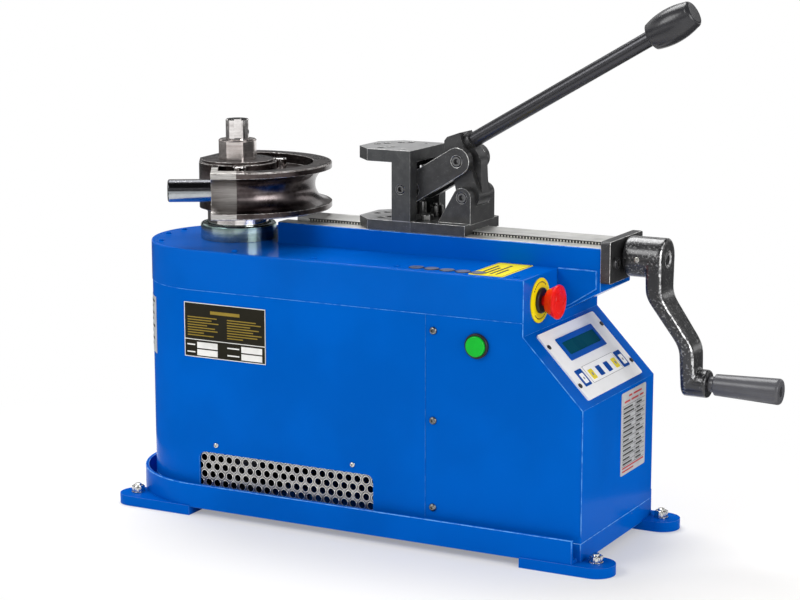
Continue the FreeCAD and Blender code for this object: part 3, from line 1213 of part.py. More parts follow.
def estop_mushroom():
    """The mushroom: a cone that opens from the skirt to the rim, and a slightly crowned face."""
    start = V(0, ESTOP_Y, ESTOP_Z)

    def at(x, r):
        return start + X_AXIS * x + Z_AXIS * r

    skirt_x = LID_X1 + ESTOP_DISC + ESTOP_COLLAR + ESTOP_TRAVEL + ESTOP_AIR
    stem_x = SLANT_TOP_X - ESTOP_THREAD / 2
    rim_x = skirt_x + ESTOP_CAP_SKIRT
    face_r = ESTOP_CAP_R - ESTOP_CAP_ROUND
    face_x = ESTOP_CAP_X1 - ESTOP_CAP_CROWN
    ball_r = (face_r ** 2 + ESTOP_CAP_CROWN ** 2) / (2 * ESTOP_CAP_CROWN)
    half_way = ball_r - math.sqrt(ball_r ** 2 - (face_r / 2) ** 2)
    turn = at(rim_x + (face_x - rim_x) * 0.7, ESTOP_CAP_R - ESTOP_CAP_ROUND * 0.3)
    edges = [
        Part.LineSegment(at(stem_x, 0), at(stem_x, ESTOP_STEM_R)).toShape(),
        Part.LineSegment(at(stem_x, ESTOP_STEM_R), at(skirt_x, ESTOP_STEM_R)).toShape(),
        Part.LineSegment(at(skirt_x, ESTOP_STEM_R), at(skirt_x, ESTOP_CAP_BACK_R)).toShape(),
        Part.LineSegment(at(skirt_x, ESTOP_CAP_BACK_R), at(rim_x, ESTOP_CAP_R)).toShape(),
        Part.Arc(at(rim_x, ESTOP_CAP_R), turn, at(face_x, face_r)).toShape(),
        Part.Arc(at(face_x, face_r), at(ESTOP_CAP_X1 - half_way, face_r / 2),
                 at(ESTOP_CAP_X1, 0)).toShape(),
        Part.LineSegment(at(ESTOP_CAP_X1, 0), at(stem_x, 0)).toShape(),
    ]
    return Part.Face(Part.Wire(edges)).revolve(start, X_AXIS, 360)


def estop_contacts():
    x1 = SLANT_TOP_X - ESTOP_THREAD
    half = ESTOP_CONTACT_HALF
    return box(x1 - ESTOP_CONTACT, x1, ESTOP_Y - half, ESTOP_Y + half, ESTOP_Z - half, ESTOP_Z + half)


def button_bezel():
    y0 = -BODY_HALF
    cup = across(BUTTON_BEZEL_R, BUTTON_X, BUTTON_Z, y0 - BUTTON_BEZEL, y0)
    cup = cup.makeChamfer(1.0, [e for e in cup.Edges if e.BoundBox.YMax < y0 - BUTTON_BEZEL + 1e-6])
    shank = across(ESTOP_SHANK_R, BUTTON_X, BUTTON_Z, y0, y0 + BUTTON_THREAD)
    well = across(BUTTON_CAP_R + 0.15, BUTTON_X, BUTTON_Z, y0 - BUTTON_BEZEL - 1, y0 - 0.2)
    bore = across(ESTOP_STEM_R + FIT, BUTTON_X, BUTTON_Z, y0 - 1, y0 + BUTTON_THREAD + 1)
    return fused([cup, shank]).cut(fused([well, bore]))


def button_cap():
    back = -BODY_HALF - 0.2 - BUTTON_TRAVEL - SEAT
    cap = across(BUTTON_CAP_R, BUTTON_X, BUTTON_Z, back - BUTTON_CAP, back)
    cap = cap.makeFillet(1.2, [e for e in cap.Edges if e.BoundBox.YMax < back - BUTTON_CAP + 1e-6])
    stem = across(ESTOP_STEM_R, BUTTON_X, BUTTON_Z, back, -BODY_HALF + 8)
    return fused([cap, stem])


def button_contacts():
    y0 = -BODY_HALF + BUTTON_THREAD
    half = BUTTON_CONTACT_HALF
    return box(BUTTON_X - half, BUTTON_X + half, y0, y0 + BUTTON_CONTACT, BUTTON_Z - half, BUTTON_Z + half)


def on_slant(shape):
    """Places a piece drawn on the panel: x down the slope, y across it, z out of it."""
    turn = FreeCAD.Rotation(Y_AXIS, SLANT_ANGLE)
    shape.Placement = FreeCAD.Placement(V(SLANT_TOP_X, 0, SLANT_TOP_Z), turn)
    return shape


def panel_plate():
    plate = box(PLATE_S0, PLATE_S1, -PLATE_HALF, PLATE_HALF, 0, PLATE_THICK)
    plate = plate.makeFillet(3.0, [e for e in plate.Edges if abs(e.BoundBox.ZLength - PLATE_THICK) < 1e-6])
    holes = [upright(PANEL_SHANK_R, s, y, -1, PLATE_THICK + 1)
             for s in PANEL_SCREW_S for y in (-PANEL_SCREW_Y, PANEL_SCREW_Y)]
    return on_slant(plate.cut(grouped(holes)))


def display_bezel():
    frame = box(BEZEL_S0, BEZEL_S1, BEZEL_Y0, BEZEL_Y1, PLATE_THICK, PLATE_THICK + BEZEL_THICK)
    frame = frame.makeFillet(1.5, [e for e in frame.Edges if abs(e.BoundBox.ZLength - BEZEL_THICK) < 1e-6])
    return on_slant(frame.cut(box(LCD_S0, LCD_S1, LCD_Y0, LCD_Y1, 0, 9)))


def display_window():
    top = PLATE_THICK + BEZEL_THICK / 2
    return on_slant(box(LCD_S0, LCD_S1, LCD_Y0, LCD_Y1, PLATE_THICK, top))


def panel_key(s, y, length, width):
    key = box(s - length / 2, s + length / 2, y - width / 2, y + width / 2,
              PLATE_THICK, PLATE_THICK + KEY_THICK)
    upright_edges = [e for e in key.Edges if abs(e.BoundBox.ZLength - KEY_THICK) < 1e-6]
    return key.makeFillet(KEY_CORNER_R, upright_edges)


def panel_keys():
    """Two tall keys at the ends of the row and four small ones between them."""
    ends = [panel_key(END_KEY_S, y, END_KEY_LENGTH, END_KEY_WIDTH) for y in END_KEY_YS]
    middle = [panel_key(KEY_S, y, KEY_LENGTH, KEY_WIDTH) for y in KEY_YS]
    return on_slant(grouped(ends + middle))


def panel_screws():
    screws = []
    for s in PANEL_SCREW_S:
        for y in (-PANEL_SCREW_Y, PANEL_SCREW_Y):
            head = upright(PANEL_SCREW_R, s, y, PLATE_THICK, PLATE_THICK + PANEL_SCREW_HEAD)
            screws.append(fused([head, upright(PANEL_SHANK_R, s, y, 0, PLATE_THICK)]))
    return on_slant(grouped(screws))


def control_unit():
    """The electronics box that stands on the tray behind the control panel."""
    return box(CONTROL_X0, CONTROL_X1, -CONTROL_HALF, CONTROL_HALF, TRAY_FLOOR_Z, CONTROL_TOP_Z)


def save(name, shape):
    moved = shape.copy()
    moved.translate(V(-ORIGIN_X, 0, 0))
    moved.exportStep(os.path.join("parts", name + ".step"))


PIECES = (
    base_tray, foot_lugs, foot_bolts, foot_washers, casing_main, casing_end, top_cover, stored_pins,
    grille_sheet, grille_screws, casing_screws, deck_screws, inner_frame, gearbox_housing,
    spindle_bearings, worm_wheel, worm_shaft, motor, bearing_cover, spindle, bend_die,
    drive_pins, hook_bar, retaining_collar, slide_beam, front_rail, rear_rail, guide_bar,
    end_plate, end_plate_screws, lead_screw, lead_nut, crank, crank_set_screw, grip_bolt,
    crank_grip, jaw_block, jaw_pin, jaw_stud, carriage_base, base_bolts, lower_pin, upper_pin,
    link_plates, lever_head, lever_rod, lever_knob, estop_disc, estop_collar, estop_mushroom,
    estop_contacts, button_bezel, button_cap, button_contacts, panel_plate, display_bezel,
    display_window, panel_keys, panel_screws, control_unit,
)

os.makedirs("parts", exist_ok=True)
for piece in PIECES:
    save(piece.__name__, piece())
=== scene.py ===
"""Looks of the bench pipe bender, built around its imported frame. Metres, +Z up, front to -Y."""
import json
import math

import bpy
import numpy as np
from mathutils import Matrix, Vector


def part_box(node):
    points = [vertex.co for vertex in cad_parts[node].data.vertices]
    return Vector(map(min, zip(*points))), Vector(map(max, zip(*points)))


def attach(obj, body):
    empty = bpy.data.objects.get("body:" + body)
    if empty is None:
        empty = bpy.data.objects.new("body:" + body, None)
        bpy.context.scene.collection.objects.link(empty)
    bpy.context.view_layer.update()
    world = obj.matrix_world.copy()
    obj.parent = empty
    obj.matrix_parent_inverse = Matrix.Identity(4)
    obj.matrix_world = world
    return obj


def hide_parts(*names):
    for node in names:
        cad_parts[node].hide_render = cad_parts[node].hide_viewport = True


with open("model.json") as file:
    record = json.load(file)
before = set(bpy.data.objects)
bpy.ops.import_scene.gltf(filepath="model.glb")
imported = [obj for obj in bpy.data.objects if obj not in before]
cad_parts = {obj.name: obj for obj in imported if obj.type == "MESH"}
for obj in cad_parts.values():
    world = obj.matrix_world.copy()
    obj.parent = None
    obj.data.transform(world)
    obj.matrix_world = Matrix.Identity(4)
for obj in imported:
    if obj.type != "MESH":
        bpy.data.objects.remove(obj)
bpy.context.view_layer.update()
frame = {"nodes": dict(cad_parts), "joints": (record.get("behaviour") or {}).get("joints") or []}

JOINTS = {joint["name"]: joint for joint in frame["joints"]}
NODES = frame["nodes"]
SPINDLE_X = JOINTS["spindle_turn"]["pos_m"][0]
MM = 0.001
SEGMENTS = 96
JOIN_REACH = 2e-6
FLAT_ANGLE = math.radians(0.4)
HARD_ANGLE = math.radians(32.0)
WHITE = (1.0, 1.0, 1.0, 1.0)


def at(x, y, z):
    """A point given in millimetres from the spindle's axis at floor level."""
    return np.array([SPINDLE_X + x * MM, y * MM, z * MM])


X_AXIS, Y_AXIS, Z_AXIS = np.eye(3)


def middle_height(name):
    """The height of the middle of a node's box."""
    return float(sum(corner.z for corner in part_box(name))) / 2


def srgb(red, green, blue):
    """A colour given as 0 to 255 screen values, as linear red, green, blue and alpha."""
    screen = np.array([red, green, blue]) / 255.0
    linear = np.where(screen <= 0.04045, screen / 12.92, ((screen + 0.055) / 1.055) ** 2.4)
    return (*[float(c) for c in linear], 1.0)


def operation(name, swapped=False):
    """A method that adds a Math node. It's swapped where Python gives the left side second."""
    def method(self, other=0.0):
        first, second = (other, self) if swapped else (self, other)
        return self.nodes.add("ShaderNodeMath", {"operation": name}, {0: first, 1: second})
    return method


class Value:
    """A value inside a node tree. Python's operators on it add Math nodes."""

    def __init__(self, nodes, socket):
        self.nodes = nodes
        self.socket = socket

    __add__ = __radd__ = operation("ADD")
    __mul__ = __rmul__ = operation("MULTIPLY")
    __sub__, __rsub__ = operation("SUBTRACT"), operation("SUBTRACT", swapped=True)
    __truediv__, __rtruediv__ = operation("DIVIDE"), operation("DIVIDE", swapped=True)
    __pow__, __rpow__ = operation("POWER"), operation("POWER", swapped=True)
    __lt__, __gt__ = operation("LESS_THAN"), operation("GREATER_THAN")
    absolute = operation("ABSOLUTE")
    whole = operation("ROUND")
    most = operation("MAXIMUM")


class Nodes:
    """A node tree that is being filled."""

    def __init__(self, tree):
        self.tree = tree

    def feed(self, socket, value):
        """Links a value into the socket, or writes a plain one there."""
        if isinstance(value, Value):
            self.tree.links.new(value.socket, socket)
        else:
            socket.default_value = value

    def add(self, kind, settings=None, inputs=None, output=0):
        """Adds a node, sets it up, and gives each of its sockets a value or a link."""
        node = self.tree.nodes.new(kind)
        for name, value in (settings or {}).items():
            setattr(node, name, value)
        for key, value in (inputs or {}).items():
            self.feed(node.inputs[key], value)
        return Value(self, node.outputs[output])

    def rays(self, *kinds):
        """1 for a ray of one of the kinds and 0 for the others."""
        path = self.add("ShaderNodeLightPath").socket.node
        found = [Value(self, path.outputs[f"Is {kind} Ray"]) for kind in kinds]
        seen = found[0]
        for other in found[1:]:
            seen = seen.most(other)
        return seen

    def blend(self, share, first, second, end):
        """Mixes two shaders by a share and feeds them into the tree's last node."""
        both = self.add("ShaderNodeMixShader", None, {0: share, 1: first, 2: second})
        self.tree.links.new(both.socket, self.tree.nodes[end].inputs["Surface"])


SOCKETS = {"metallic": "Metallic", "ior": "IOR", "coat_weight": "Coat Weight",
           "coat_roughness": "Coat Roughness"}


def new_material(name):
    material = bpy.data.materials.new(name)
    material.use_nodes = True
    return material


class Paint(Nodes):
    """A material being mixed: its nodes, the place on the piece, and its surface shader."""

    def __init__(self, name, **fixed):
        self.material = new_material(name)
        super().__init__(self.material.node_tree)
        self.surface = self.tree.nodes["Principled BSDF"]
        for word, value in fixed.items():
            self.feed(self.surface.inputs[SOCKETS[word]], value)
        self.place = self.add("ShaderNodeTexCoord", output="Object")
        parts = self.add("ShaderNodeSeparateXYZ", inputs={0: self.place}).socket.node
        self.x, self.y, self.z = [Value(self, part) for part in parts.outputs]

    def noise(self, scale, detail=2.0, rough=0.5, where=None):
        return self.add("ShaderNodeTexNoise", None, {"Vector": where or self.place, "Scale": scale,
                                                     "Detail": detail, "Roughness": rough})

    def cells(self, scale):
        return self.add("ShaderNodeTexVoronoi", None, {"Vector": self.place, "Scale": scale})

    def stretched(self, x, y, z):
        """The place, scaled apart along each axis, for patterns that run one way."""
        return self.add("ShaderNodeMapping", None, {"Vector": self.place, "Scale": (x, y, z)})

    def point(self, x, y):
        return self.add("ShaderNodeCombineXYZ", None, {0: x, 1: y})

    def spindle_radius(self):
        """The distance from the spindle's axis."""
        u = self.x - SPINDLE_X
        return (u * u + self.y * self.y) ** 0.5

    def between(self, value, low, high):
        """0 below low, 1 above high and a soft step between."""
        return self.add("ShaderNodeMapRange", {"interpolation_type": "SMOOTHSTEP"},
                        {"Value": value, "From Min": low, "From Max": high})

    def mix(self, factor, first, second):
        return self.add("ShaderNodeMix", {"data_type": "RGBA"},
                        {0: factor, 6: first, 7: second}, output=2)

    def bump(self, height, distance, strength):
        return self.add("ShaderNodeBump", None,
                        {"Height": height, "Distance": distance, "Strength": strength})

    def done(self, colour, roughness, normal=None, metallic=None):
        """Feeds what varies into the shader and returns the material."""
        sockets = {"Base Color": colour, "Roughness": roughness, "Normal": normal,
                   "Metallic": metallic}
        for name, value in sockets.items():
            if value is not None:
                self.feed(self.surface.inputs[name], value)
        return self.material


def enamel(name, colour, shade, index=1.06):
    """Sprayed enamel: a faint orange peel, slow tone changes and hairline wear in the gloss."""
    paint = Paint(name, ior=index)
    tone = paint.between(paint.noise(7, 3), 0.35, 0.65)
    peel = paint.noise(420, 2)
    haze = paint.noise(38, 4, 0.6)
    scuffs = paint.between(paint.noise(900, 3, 0.7, paint.stretched(1, 1, 0.08)), 0.66, 0.74)
    return paint.done(paint.mix(tone, shade, colour), haze * 0.1 + 0.1 + scuffs * 0.08,
                      paint.bump(peel, 0.00004, 0.4))


def enamel_edge_highlight():
    """The enamel on folded edges, painted pale as a highlight where they catch the light and left plain
    near the floor.
    """
    paint = Paint("blue_enamel_edge", ior=1.4)
    # high: the edges above the floor, where the pale highlight is painted; pale: the painted highlight's
    # colour.
    high = paint.between(paint.z, 0.024, 0.03)
    patch = paint.between(paint.noise(90, 3, 0.6), 0.35, 0.6)
    pale = paint.mix(patch, srgb(16, 108, 208), srgb(84, 158, 232))
    return paint.done(paint.mix(high, srgb(0, 92, 190), pale), 0.32 - high * 0.1,
                      paint.bump(patch, 0.00003, 0.3))


def turned_metal(name, colour, dark, roughness):
    """Lathe-turned metal: fine rings about the spindle, by the distance from its axis and the height."""
    paint = Paint(name, metallic=1.0)
    around = paint.point(paint.spindle_radius(), paint.z)
    rings = paint.noise(2600, 2, 0.6, around)
    bands = paint.noise(130, 2, 0.5, around)
    smudge = paint.noise(55, 4, 0.6)
    colours = paint.mix(paint.between(bands + (smudge - 0.5) * 0.6, 0.3, 0.7), dark, colour)
    return paint.done(colours, rings * 0.12 + smudge * 0.14 + (roughness - 0.1),
                      paint.bump(rings, 0.00002, 0.5))


def ground_metal(name, colour, dark, roughness):
    """Surface-ground steel: fine straight grinding lines that run along X."""
    paint = Paint(name, metallic=0.75)
    lines = paint.noise(1, 3, 0.6, paint.stretched(25, 2400, 2400))
    broad = paint.noise(1, 2, 0.5, paint.stretched(6, 260, 260))
    stain = paint.noise(45, 4, 0.6)
    colours = paint.mix(paint.between(broad * 0.5 + stain * 0.5, 0.35, 0.65), dark, colour)
    return paint.done(colours, lines * 0.2 + stain * 0.12 + (roughness - 0.12),
                      paint.bump(lines, 0.00002, 0.6))


HOLE_PITCH = 12.0
HOLE_ROW = 10.3923
HOLE_FIRST_X = 6.3
HOLE_TOP_Z = 82.2


def pierced_sheet():
    """Bare pierced sheet: every hole has a pressed rim painted bright as a highlight and a ring of
    painted shade round it, by the distance to the nearest centre of the staggered rows."""
    paint = Paint("pierced_sheet", metallic=0.9)
    rows = (paint.z - HOLE_TOP_Z * MM) / (-HOLE_ROW * MM)
    row = rows.whole()
    columns = (paint.x - (SPINDLE_X + HOLE_FIRST_X * MM)) / (HOLE_PITCH * MM) - row * 0.5
    across = (columns - columns.whole()) * HOLE_PITCH
    down = (rows - row) * HOLE_ROW
    distance = (across * across + down * down) ** 0.5
    # rim: the painted highlight on each hole's pressed rim; dish: the ring of painted shade round it.
    rim = 1 - paint.between(distance, 5.0, 5.4)
    dish = paint.between(distance, 5.2, 5.5) * (1 - paint.between(distance, 5.7, 6.2))
    stain = paint.noise(60, 4, 0.6)
    sheet = paint.mix(paint.between(stain, 0.35, 0.65), srgb(150, 148, 146), srgb(196, 194, 190))
    sheet_with_painted_shade = paint.mix(dish * 0.75, sheet, srgb(60, 58, 58))
    return paint.done(paint.mix(rim, sheet_with_painted_shade, srgb(240, 238, 234)), stain * 0.2 + 0.2,
                      paint.bump(rim, 0.0006, 0.9))


def blackened_steel(name, colour, light, roughness, metallic=0.55, specks=1.0, lit_tops=()):
    """Oil-blackened steel: an even dark tone, pale pinhead specks and a fine skin. The level faces at
    the listed heights, in millimetres, are painted paler as a highlight of the light from above."""
    paint = Paint(name, metallic=metallic, ior=1.5)
    mottle = paint.noise(95, 3, 0.5)
    speck = paint.between(paint.noise(1150, 2, 0.7), 0.67, 0.73)
    rubbed = paint.between(paint.noise(26, 4, 0.65), 0.55, 0.8)
    tone = paint.mix(paint.between(mottle, 0.35, 0.7) * 0.03 + speck * (0.55 * specks) + rubbed * 0.06,
                     colour, light)
    shine = metallic
    for top in lit_tops:
        # Each listed level face is painted paler, as lit from above.
        away = paint.between((paint.z - top * MM).absolute(), 0.0004, 0.0006)
        tone = paint.mix(away, paint.mix(mottle, srgb(120, 120, 121), srgb(176, 176, 176)), tone)
        shine = away * 0.6 + 0.25 if shine is metallic else shine * away + (1 - away) * 0.25
    return paint.done(tone, mottle * 0.06 + (roughness - 0.03),
                      paint.bump(speck, 0.00004, 0.3 * specks), shine)


def worn_and_highlit_edge(name, colour, bright):
    """The bright edge of a dark piece: partly rubbed metal that shows through in patches, partly a
    painted highlight along the edge.
    """
    paint = Paint(name, metallic=0.6)
    wear = paint.between(paint.noise(160, 4, 0.7), 0.38, 0.58)
    return paint.done(paint.mix(wear, colour, bright), 0.46 - wear * 0.18,
                      paint.bump(paint.noise(700, 3), 0.00005, 0.4))


def cast_iron(name, colour, light, depth=0.0005):
    """Rough casting under thin glossy black paint: hammered lumps that each catch the light."""
    paint = Paint(name, metallic=0.5, ior=1.6, coat_weight=0.9, coat_roughness=0.2)
    lumps = paint.noise(330, 3, 0.55)
    pits = paint.cells(430)
    smooth = paint.between(paint.noise(40, 3, 0.5), 0.46, 0.64)
    # glint: a painted highlight on the high points of the lumps, added to the bump's real shading.
    glint = paint.between(lumps * 0.6 + pits * 0.4, 0.56, 0.66)
    tone = paint.mix(glint * (1 - smooth) * 0.36, colour, light)
    height = (lumps * 0.6 + pits * 0.4) * (1 - smooth * 0.5)
    return paint.done(tone, 0.24 + lumps * 0.2, paint.bump(height, depth, 0.8))


def scaled(colour, share):
    return (*[c * share for c in colour[:3]], 1.0)


def moulded(name, colour, roughness, grain=0.1, coat=0.0, index=1.45, cloud=0.14):
    """Moulded plastic or print: an even tone with a very fine grain."""
    paint = Paint(name, ior=index, coat_weight=coat, coat_roughness=0.08)
    fine = paint.noise(1600, 2)
    broad = paint.noise(60, 3)
    tone = paint.mix(paint.between(broad, 0.3, 0.7), scaled(colour, 1 - cloud), colour)
    return paint.done(tone, roughness - 0.05 + broad * 0.1, paint.bump(fine, 0.00003, grain))


def plated(name, colour, dark, roughness):
    """Zinc-plated steel: a soft crystalline mottle."""
    paint = Paint(name, metallic=1.0)
    crystals = paint.cells(700)
    cloud = paint.noise(140, 4, 0.6)
    return paint.done(paint.mix(paint.between(crystals * 0.4 + cloud * 0.6, 0.25, 0.65), dark, colour),
                      roughness - 0.08 + cloud * 0.2, paint.bump(cloud, 0.00003, 0.4))


def grip_plastic(name, colour, sheen):
    """Grip plastic: satin grey, rubbed a little smoother in patches."""
    paint = Paint(name, ior=1.48)
    rubbed = paint.noise(60, 4, 0.6)
    fine = paint.noise(900, 3)
    tone = paint.mix(paint.between(rubbed, 0.4, 0.7) * 0.6, colour, scaled(colour, 1.25))
    return paint.done(tone, sheen + 0.1 - rubbed * 0.2, paint.bump(fine + rubbed, 0.00006, 0.3))


def die_metal():
    """The die: dark brown turned steel under oil, smooth in the tube groove, and a lighter milled
    face where the groove runs straight."""
    paint = Paint("die_steel", metallic=1.0, coat_weight=0.35, coat_roughness=0.12)
    u = paint.x - SPINDLE_X
    around = paint.point(paint.spindle_radius(), paint.z)
    rings = paint.noise(1900, 3, 0.6, around)
    bands = paint.noise(90, 2, 0.5, around)
    stain = paint.noise(24, 4, 0.6)
    depth = (paint.z - DIE_MID_Z).absolute()
    groove = 1 - paint.between(depth, 0.016, 0.021)
    dark = paint.mix(paint.between(stain, 0.35, 0.68), srgb(50, 42, 41), srgb(92, 82, 80))
    smooth = paint.mix(paint.between(stain * 0.6 + bands * 0.4, 0.4, 0.62),
                       srgb(56, 46, 46), srgb(132, 122, 122))
    tone = paint.mix(groove, dark, smooth)
    along = u * math.cos(DIE_TURN) + paint.y * math.sin(DIE_TURN)
    out = paint.y * math.cos(DIE_TURN) - u * math.sin(DIE_TURN)
    milled = (along < 0.0) * (out < -0.06)
    brushed = paint.between(paint.noise(1, 3, 0.6, paint.stretched(60, 60, 1500)), 0.3, 0.7)
    fade = paint.between(along, -0.036, -0.004)
    face = paint.mix(brushed * 0.4 + fade * 0.6, srgb(112, 106, 103), srgb(168, 164, 161))
    rim = paint.mix(brushed, srgb(170, 166, 162), srgb(224, 222, 218))
    seam = paint.between(depth, 0.0185, 0.0195)
    return paint.done(paint.mix(milled, tone, paint.mix(seam, face, rim)),
                      rings * 0.08 + stain * 0.14 + 0.17 + milled * 0.15,
                      paint.bump(rings, 0.00002, 0.35))


def hook_steel():
    """The hook bar: bright drawn steel whose upper half is painted dark as shade."""
    paint = Paint("hook_steel", metallic=1.0)
    middle = middle_height("hook_bar")
    # upper: the upper half, painted dark as shade, with pale specks.
    upper = paint.between(paint.z, middle - 2.0 * MM, middle + 3.0 * MM)
    stain = paint.noise(70, 4, 0.6)
    speck = paint.between(paint.noise(900, 2, 0.7), 0.66, 0.72)
    low = paint.mix(stain, srgb(150, 158, 162), srgb(205, 208, 210))
    high = paint.mix(speck, srgb(70, 71, 74), srgb(220, 220, 220))
    return paint.done(paint.mix(upper, low, high), stain * 0.12 + 0.16, paint.bump(stain, 0.00002, 0.3))


DIE_TURN = math.radians(31.0)
DIE_MID_Z = middle_height("bend_die") - 1.75 * MM

BLUE = enamel("blue_enamel", srgb(0, 94, 195), srgb(0, 88, 184))
BLUE_DECK = enamel("blue_enamel_deck", srgb(0, 94, 195), srgb(0, 88, 184), 1.14)
BLUE_EDGE_HIGHLIGHT = enamel_edge_highlight()
BRIGHT = turned_metal("bright_turned_steel", srgb(240, 236, 234), srgb(206, 200, 198), 0.08)
COLLAR = turned_metal("collar_steel", srgb(226, 218, 214), srgb(192, 182, 178), 0.18)
COVER = turned_metal("cover_steel", srgb(178, 196, 192), srgb(128, 152, 148), 0.16)
HOOK = hook_steel()
MACHINED = turned_metal("machined_steel", srgb(200, 200, 198), srgb(160, 160, 160), 0.3)
DIE = die_metal()
# Bright edges of the die: partly rubbed wear, partly a painted highlight.
DIE_EDGE = worn_and_highlit_edge("die_edge", srgb(130, 120, 116), srgb(236, 232, 228))
BLACKENED = blackened_steel("blackened_steel", srgb(78, 78, 79), srgb(226, 226, 224), 0.38, 0.85)
# The jaw's level faces on top are painted paler, as lit from above.
JAW = blackened_steel("blackened_jaw", srgb(86, 87, 88), srgb(236, 236, 234), 0.36, 0.85,
                      lit_tops=(455.8, 370.3))
PIN_BLACK = blackened_steel("blackened_pin", srgb(122, 122, 123), srgb(220, 220, 220), 0.28, 0.95, 0.5)
PIN_RIM = blackened_steel("blackened_pin_rim", srgb(30, 30, 32), srgb(130, 130, 130), 0.3, 0.6, 0.4)
ROD_BLACK = blackened_steel("blackened_rod", srgb(72, 72, 75), srgb(110, 110, 114), 0.3, 0.8, 0.0)
# Bright edges of blackened pieces: partly rubbed wear, partly a painted highlight.
EDGE = worn_and_highlit_edge("worn_and_highlit_edge", srgb(160, 160, 160), srgb(252, 252, 248))
CAST = cast_iron("black_casting", srgb(40, 40, 42), srgb(190, 190, 190))
# A painted highlight along the crank arm's front ridge.
CAST_RIDGE_HIGHLIGHT = worn_and_highlit_edge("casting_ridge", srgb(120, 120, 122), srgb(236, 236, 236))
GRIP = grip_plastic("grip_plastic", srgb(80, 80, 84), 0.3)
KNOB = grip_plastic("knob_plastic", srgb(46, 46, 49), 0.26)
RAIL = ground_metal("ground_rail_steel", srgb(222, 221, 218), srgb(190, 190, 187), 0.34)
PIERCED = pierced_sheet()
BOLT_STEEL = plated("bolt_steel", srgb(150, 150, 148), srgb(96, 96, 97), 0.28)
CHROME = plated("bright_bolt_zinc", srgb(236, 236, 232), srgb(170, 170, 168), 0.2)
ZINC = plated("zinc_plate", srgb(222, 221, 212), srgb(168, 168, 162), 0.32)
SCREW = blackened_steel("blackened_screw", srgb(34, 34, 37), srgb(130, 130, 134), 0.3)
PANEL = moulded("panel_white", srgb(246, 246, 246), 0.5, index=1.2, cloud=0.03)
PANEL_LIGHT = moulded("panel_key_field", srgb(254, 254, 254), 0.5, index=1.2, cloud=0.03)
BEZEL = moulded("bezel_blue", srgb(0, 84, 178), 0.4, 0.2, index=1.12, cloud=0.08)
KEY_BLUE = moulded("key_blue", srgb(0, 74, 160), 0.45, 0.2, index=1.12, cloud=0.08)
KEY_YELLOW = moulded("key_yellow", srgb(250, 228, 40), 0.45, 0.2)
RED = moulded("red_plastic", srgb(240, 18, 13), 0.28, coat=0.1, index=1.3)
YELLOW = moulded("yellow_plastic", srgb(255, 234, 16), 0.42, 0.2, index=1.2, cloud=0.06)
GREEN = moulded("green_plastic", srgb(12, 190, 50), 0.3, 0.15, coat=0.1, index=1.3)
BLACK_PLASTIC = moulded("black_plastic", srgb(38, 33, 32), 0.38, 0.5)
IRON = cast_iron("dark_painted_frame", srgb(30, 31, 34), srgb(70, 72, 76), 0.0002)
BRONZE = turned_metal("bronze", srgb(196, 158, 92), srgb(150, 112, 60), 0.3)
INK = moulded("black_ink", srgb(38, 37, 35), 0.5)
GREY_INK = moulded("grey_ink", srgb(150, 152, 156), 0.5)
WHITE_INK = moulded("white_ink", srgb(236, 236, 232), 0.45)
RED_INK = moulded("red_ink", srgb(196, 40, 44), 0.45)
SILVER = moulded("silver_foil", srgb(196, 198, 200), 0.34)
PLATE_OLIVE = moulded("rating_plate_field", srgb(38, 36, 27), 0.4, 0.15, index=1.2)
OLIVE_INK = moulded("olive_ink", srgb(150, 128, 52), 0.45, index=1.2)


def lcd_glass():
    """A dark teal window with faint ruled cells."""
    paint = Paint("display_glass", ior=1.04)
    cell = paint.add("ShaderNodeMath", {"operation": "FRACT"}, {0: paint.y * 180.0})
    lines = paint.between(cell, 0.86, 0.92) * 0.25
    glow = paint.noise(30, 2)
    tone = paint.mix(glow, srgb(0, 66, 88), srgb(4, 80, 98))
    return paint.done(paint.mix(lines, tone, srgb(6, 50, 60)), 0.25 + glow * 0.05)


LCD = lcd_glass()


def new_object(name, data):
    thing = bpy.data.objects.new(name, data)
    bpy.context.scene.collection.objects.link(thing)
    return thing


def shade_smooth(mesh):
    mesh.polygons.foreach_set("use_smooth", np.ones(len(mesh.polygons), dtype=bool))


def link_mesh(name, points, faces, material, smooth=True, crease=0.6):
    """A mesh object from points and faces, with its hard edges marked."""
    mesh = bpy.data.meshes.new(name)
    mesh.from_pydata(np.asarray(points).tolist(), [], [list(face) for face in faces])
    mesh.update()
    piece = new_object(name, mesh)
    mesh.materials.append(material)
    if smooth:
        shade_smooth(mesh)
        mesh.set_sharp_from_angle(angle=crease)
    return piece


def keep(piece, body, slot, *nodes):
    """The piece moves with the body and stands for the nodes, which are hidden. The slot is not used."""
    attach(piece, body)
    if nodes:
        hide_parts(*nodes)


def basis(axis):
    """Two directions square to the axis and to each other."""
    axis = np.asarray(axis, float)
    helper = Z_AXIS if abs(axis[2]) < 0.9 else X_AXIS
    first = np.cross(helper, axis)
    first /= np.linalg.norm(first)
    return first, np.cross(axis, first)


def eased(profile, radius, steps=4):
    """Rounds each inner corner of a profile of (along, out) points by about the radius."""
    corners = [np.array(p[:2], float) for p in profile]
    out = [tuple(profile[0])]
    for index in range(1, len(corners) - 1):
        here = corners[index]
        back = corners[index - 1] - here
        ahead = corners[index + 1] - here
        reach = min(radius, np.linalg.norm(back) * 0.45, np.linalg.norm(ahead) * 0.45)
        start = here + back / np.linalg.norm(back) * reach
        end = here + ahead / np.linalg.norm(ahead) * reach
        t = np.linspace(0, 1, steps + 1)[:, None]
        curve = (1 - t) ** 2 * start + 2 * t * (1 - t) * here + t ** 2 * end
        flats = profile[index][2:]
        out += [tuple(p) + tuple(flats) for p in curve]
    out.append(tuple(profile[-1]))
    return out


